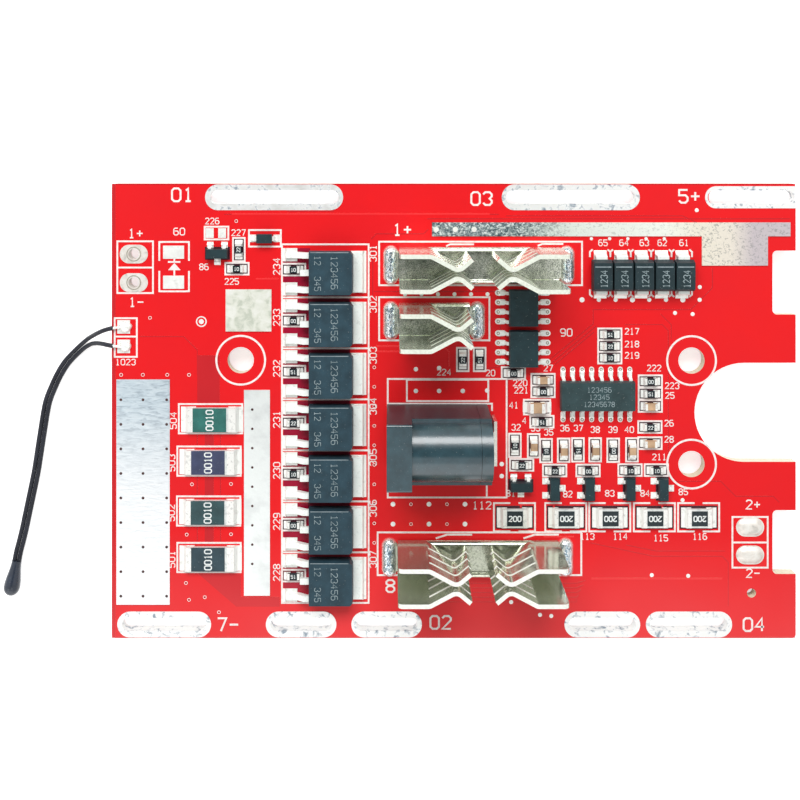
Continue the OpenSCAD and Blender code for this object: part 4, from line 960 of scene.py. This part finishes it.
# Single ones; those on the west side are open.
for x, y in ((29.5, 13.05), (31.85, 12.9), (32.8, 16.5), (32.4, 26.75), (-40.5, 12.4), (-34.9, -9.8),
             (-29.7, -9.75), (-35.6, -16.5), (-29.7, -16.45), (-35.7, -22.95), (-35.3, -25.2),
             (-33.2, -24.85), (-31.3, -26.85), (11.5, -27.2), (13.0, -27.35), (7.65, -25.5),
             (31.25, -22.0), (-29.0, 25.3), (26.4, -21.9), (30.5, -11.9)):
    via(x, y, 0.27, filled=x > -28)
for x in (-44.35, -41.45, -38.2, -35.3):
    via(x, 4.8, 0.28, filled=False)

# A round test point with a ring, pinholes in the left and the middle bus, and buttons on the upper one.
via_rims.ring(-33.65, 11.9, 0.56, 0.72, TOP, TOP + 0.025, sides=28)
via_rims.circle(-33.65, 11.9, 0.34, TOP, TOP + 0.03, sides=24)
bus_top = box_mm("left_bus")[1][2]
# The pinholes are discs of painted shade.
for x in (-44.35, -41.4, -38.25):
    for n in range(9):
        via_bores.circle(x, 1.5 - 3.27*n, 0.19, bus_top, bus_top + 0.01, sides=14)
for n in range(9):
    via_bores.circle(-26.85, 0.2 - 2.57*n, 0.17, bus_top, bus_top + 0.01, sides=14)
for x in (-2.35, 0.2, 2.7):
    via_rims.circle(x, 24.2, 0.36, bus_top, bus_top + 0.03, sides=20)

# A faint ring where each gull-wing lead's solder ends, and one round each open wire hole.
dimples = Flat()
lands = islands("solder_lands")
monitor_y = middle(*box_mm("cell_monitor"))[1]
for x0, y0, x1, y1, _ in islands("ic_leads"):
    x, y = (x0 + x1)/2, (y0 + y1)/2
    under_lead = [b for b in lands if b[0] < x < b[2] and b[1] < y < b[3]]
    if not under_lead:
        continue
    left, bottom, right, top, high = under_lead[0]
    if y1 - y0 > x1 - x0:
        y = top - 0.36 if y > monitor_y else bottom + 0.36
    else:
        x = left + 0.42 if x > (left + right)/2 else right - 0.42
    dimples.ring(x, y, 0.13, 0.22, high - 0.03, high + 0.012, sides=14)
for name in ("lamp_wire_land_plus", "lamp_wire_land_minus"):
    dimples.ring(*mount_xy(name), 0.86, 0.98, LAND_TOP - 0.05, LAND_TOP + 0.03, sides=28)
dimples.finish("land_dimples", land_ring)
via_rims.finish("via_rims", tin)
via_bores.finish("via_bores", bore_shade)

# ------------------------------------------------ solder at the probe's lands


def solder_mound(name, x, y, long, wide, high, rough):
    """A low lens of solder with a slightly uneven edge."""
    mesh = bmesh.new()
    turns, rows = 28, 6
    grid = []
    for j in range(rows + 1):
        lift = math.sin(0.5*math.pi*j/rows)
        reach = math.cos(0.5*math.pi*j/rows)
        ring = []
        for i in range(turns if j < rows else 1):
            a = 2*math.pi*i/turns
            swell = reach*(1 + rough*math.sin(3*a + 0.7) + 0.5*rough*math.sin(5*a))
            ring.append(mesh.verts.new(((x + long*swell*math.cos(a))*MM, (y + wide*swell*math.sin(a))*MM,
                                        (LAND_TOP + high*lift)*MM)))
        grid.append(ring)
    for j in range(rows - 1):
        for i in range(turns):
            k = (i + 1) % turns
            mesh.faces.new((grid[j][i], grid[j][k], grid[j + 1][k], grid[j + 1][i]))
    for i in range(turns):
        mesh.faces.new((grid[rows - 1][i], grid[rows - 1][(i + 1) % turns], grid[rows][0]))
    mesh.faces.new(grid[0][::-1])
    for face in mesh.faces:
        face.smooth = True
    mound = place_mesh(mesh, name, tin)
    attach(mound, BODY)


solder_mound("probe_joint_a", -43.75, 11.2, 0.85, 0.72, 0.55, 0.06)
solder_mound("probe_joint_b", -43.75, 8.6, 0.78, 0.74, 0.55, 0.03)

# ------------------------------------------------ coatings and markings

MARK_H = 0.012
COAT_H = 0.07
GLAZE_H = 0.06
PRINT_H = 0.015
faint = Flat()
edges = Flat()
marks = Flat()
patches = Flat()

# Power devices: counting digits that run downwards, and a painted highlight along the moulding's upper edge.
for low, high in mosfets:
    y, z = middle(low, high)[1], high[2]
    write(faint, "123456", low[0] + 3.45, y + 0.15, 0.84, z, z + MARK_H, turn=3, pen=0.085, wide=0.95)
    write(faint, "12", low[0] + 1.25, y + 1.75, 0.80, z, z + MARK_H, turn=3, pen=0.09, wide=0.9)
    write(faint, "345", low[0] + 1.25, y - 1.3, 0.80, z, z + MARK_H, turn=3, pen=0.09, wide=0.9)
    edges.box(low[0] + 0.3, high[1] - 0.16, high[0] - 0.6, high[1] - 0.06, z, z + 0.008)
for low, high in diodes:
    (x, y), z = middle(low, high), high[2]
    write(faint, "1234", x + 0.1, y - 0.35, 0.85, z, z + MARK_H, turn=1, pen=0.11, wide=0.75)
    # Painted highlight: a pale strip near each diode's upper edge.
    edges.box(low[0] + 0.25, high[1] - 0.95, high[0] - 0.25, high[1] - 0.80, z, z + 0.010)
low, high = box_mm("cell_monitor")
(x, y), z = middle(low, high), high[2]
for text, up, wide in (("123456", 0.95, 0.95), ("12345", 0.0, 0.95), ("12345678", -0.95, 0.9)):
    write(faint, text, x + 0.1, y + up, 0.62, z, z + MARK_H, pen=0.10, wide=wide)

# Shunts: a coat with a value on it. Balancing resistors: a glaze patch with a value, which is turned
# round on all but the first.
for n, (coat, (low, high)) in enumerate(zip(shunt_coats, shunts), 1):
    (x, y), z = middle(low, high), high[2]
    cover = Flat()
    cover.box(low[0] + 0.65, low[1] + 0.02, high[0] - 1.2, high[1] - 0.02, z, z + COAT_H)
    cover.finish("shunt_coat_%d" % n, coat)
    write(marks, "0010", x - 0.25, y, 0.9, z + COAT_H, z + COAT_H + PRINT_H, turn=1, pen=0.17, wide=0.85)
for n, (low, high) in enumerate(balancers):
    (x, y), z = middle(low, high), high[2]
    patches.box(x - 1.05, y - 0.98, x + 1.05, y + 0.98, z, z + GLAZE_H)
    write(marks, "200", x, y, 0.66, z + GLAZE_H, z + GLAZE_H + PRINT_H,
          turn=2 if n else 0, pen=0.22, wide=0.95)
for n, (x0, y0, x1, y1, z1) in enumerate(resistors):
    write(marks, ("10", "22", "51", "00")[n % 4], (x0 + x1)/2, (y0 + y1)/2, 0.42, z1, z1 + MARK_H,
          turn=0 if x1 - x0 > y1 - y0 else 1, pen=0.17, wide=0.9)
faint.finish("faint_markings", faint_ink)
edges.finish("moulding_highlights", edge_highlight)
marks.finish("white_markings", mark_ink)
patches.finish("balance_glaze", glaze)

# ------------------------------------------------ floor, world and lamps

# What the camera, gloss and glass see of the floor and of the world is white; what lights the board
# is dimmer.
FLOOR_GLOW = 0.62
WORLD_LEVEL = 0.42
SEEN_BY = ("Is Camera Ray", "Is Glossy Ray", "Is Transmission Ray")


def stage_box(name, look, *corners):
    """A plain box that belongs to the studio and not to the object."""
    box = Flat()
    box.box(*corners)
    made = place_mesh(box.mesh, name, look)
    return made


floor_look = Look("pale_floor", (0.86, 0.86, 0.86), roughness=0.9)
ways = floor_look.node("LightPath").outputs
seen = floor_look.maths("MAXIMUM", ways[SEEN_BY[0]],
                        floor_look.maths("MAXIMUM", ways[SEEN_BY[1]], ways[SEEN_BY[2]]))
floor_look.set("Emission Color", (1.0, 1.0, 1.0))
floor_look.set("Emission Strength", floor_look.maths("MULTIPLY", seen, FLOOR_GLOW))
stage_box("floor", floor_look, -600, -600, 600, 600, -1.0, -0.02)

world = bpy.data.worlds.new("world")
bpy.context.scene.world = world
world.use_nodes = True
sky = world.node_tree
ways = sky.nodes.new("ShaderNodeLightPath").outputs


def sky_maths(operation, *inputs):
    made = sky.nodes.new("ShaderNodeMath")
    made.operation = operation
    for target, value in zip(made.inputs, inputs):
        if isinstance(value, bpy.types.NodeSocket):
            sky.links.new(value, target)
        else:
            target.default_value = value
    return made.outputs[0]


seen = sky_maths("MAXIMUM", sky_maths("MAXIMUM", ways[SEEN_BY[0]], ways[SEEN_BY[1]]), ways[SEEN_BY[2]])
background = sky.nodes["Background"]
sky.links.new(sky_maths("MULTIPLY_ADD", seen, 1.0 - WORLD_LEVEL, WORLD_LEVEL), background.inputs["Strength"])
background.inputs["Color"].default_value = (1, 1, 1, 1)


def area_lamp(name, place, size, power):
    """A soft oblong lamp that looks at the middle of the board."""
    data = bpy.data.lights.new(name, "AREA")
    data.shape = "RECTANGLE"
    data.size, data.size_y = size[0]*MM, size[1]*MM
    data.energy = power
    lamp = bpy.data.objects.new(name, data)
    lamp.location = Vector(place)*MM
    lamp.rotation_mode = "QUATERNION"
    lamp.rotation_quaternion = Vector(place).to_track_quat("Z", "Y")
    bpy.context.scene.collection.objects.link(lamp)


area_lamp("north_lamp", (-40, 330, 330), (420, 190), 2.2)
area_lamp("south_lamp", (-120, -380, 260), (700, 420), 0.85)

# A dark card over the board, as a photographer hangs one: only reflections see it.
card_look = Look("dark_card", (0.02, 0.025, 0.03), roughness=0.9)
card = stage_box("dark_card", card_look, -120, -70, 60, 130, 320, 321)
card.visible_camera = False
card.visible_diffuse = False
card.visible_shadow = False
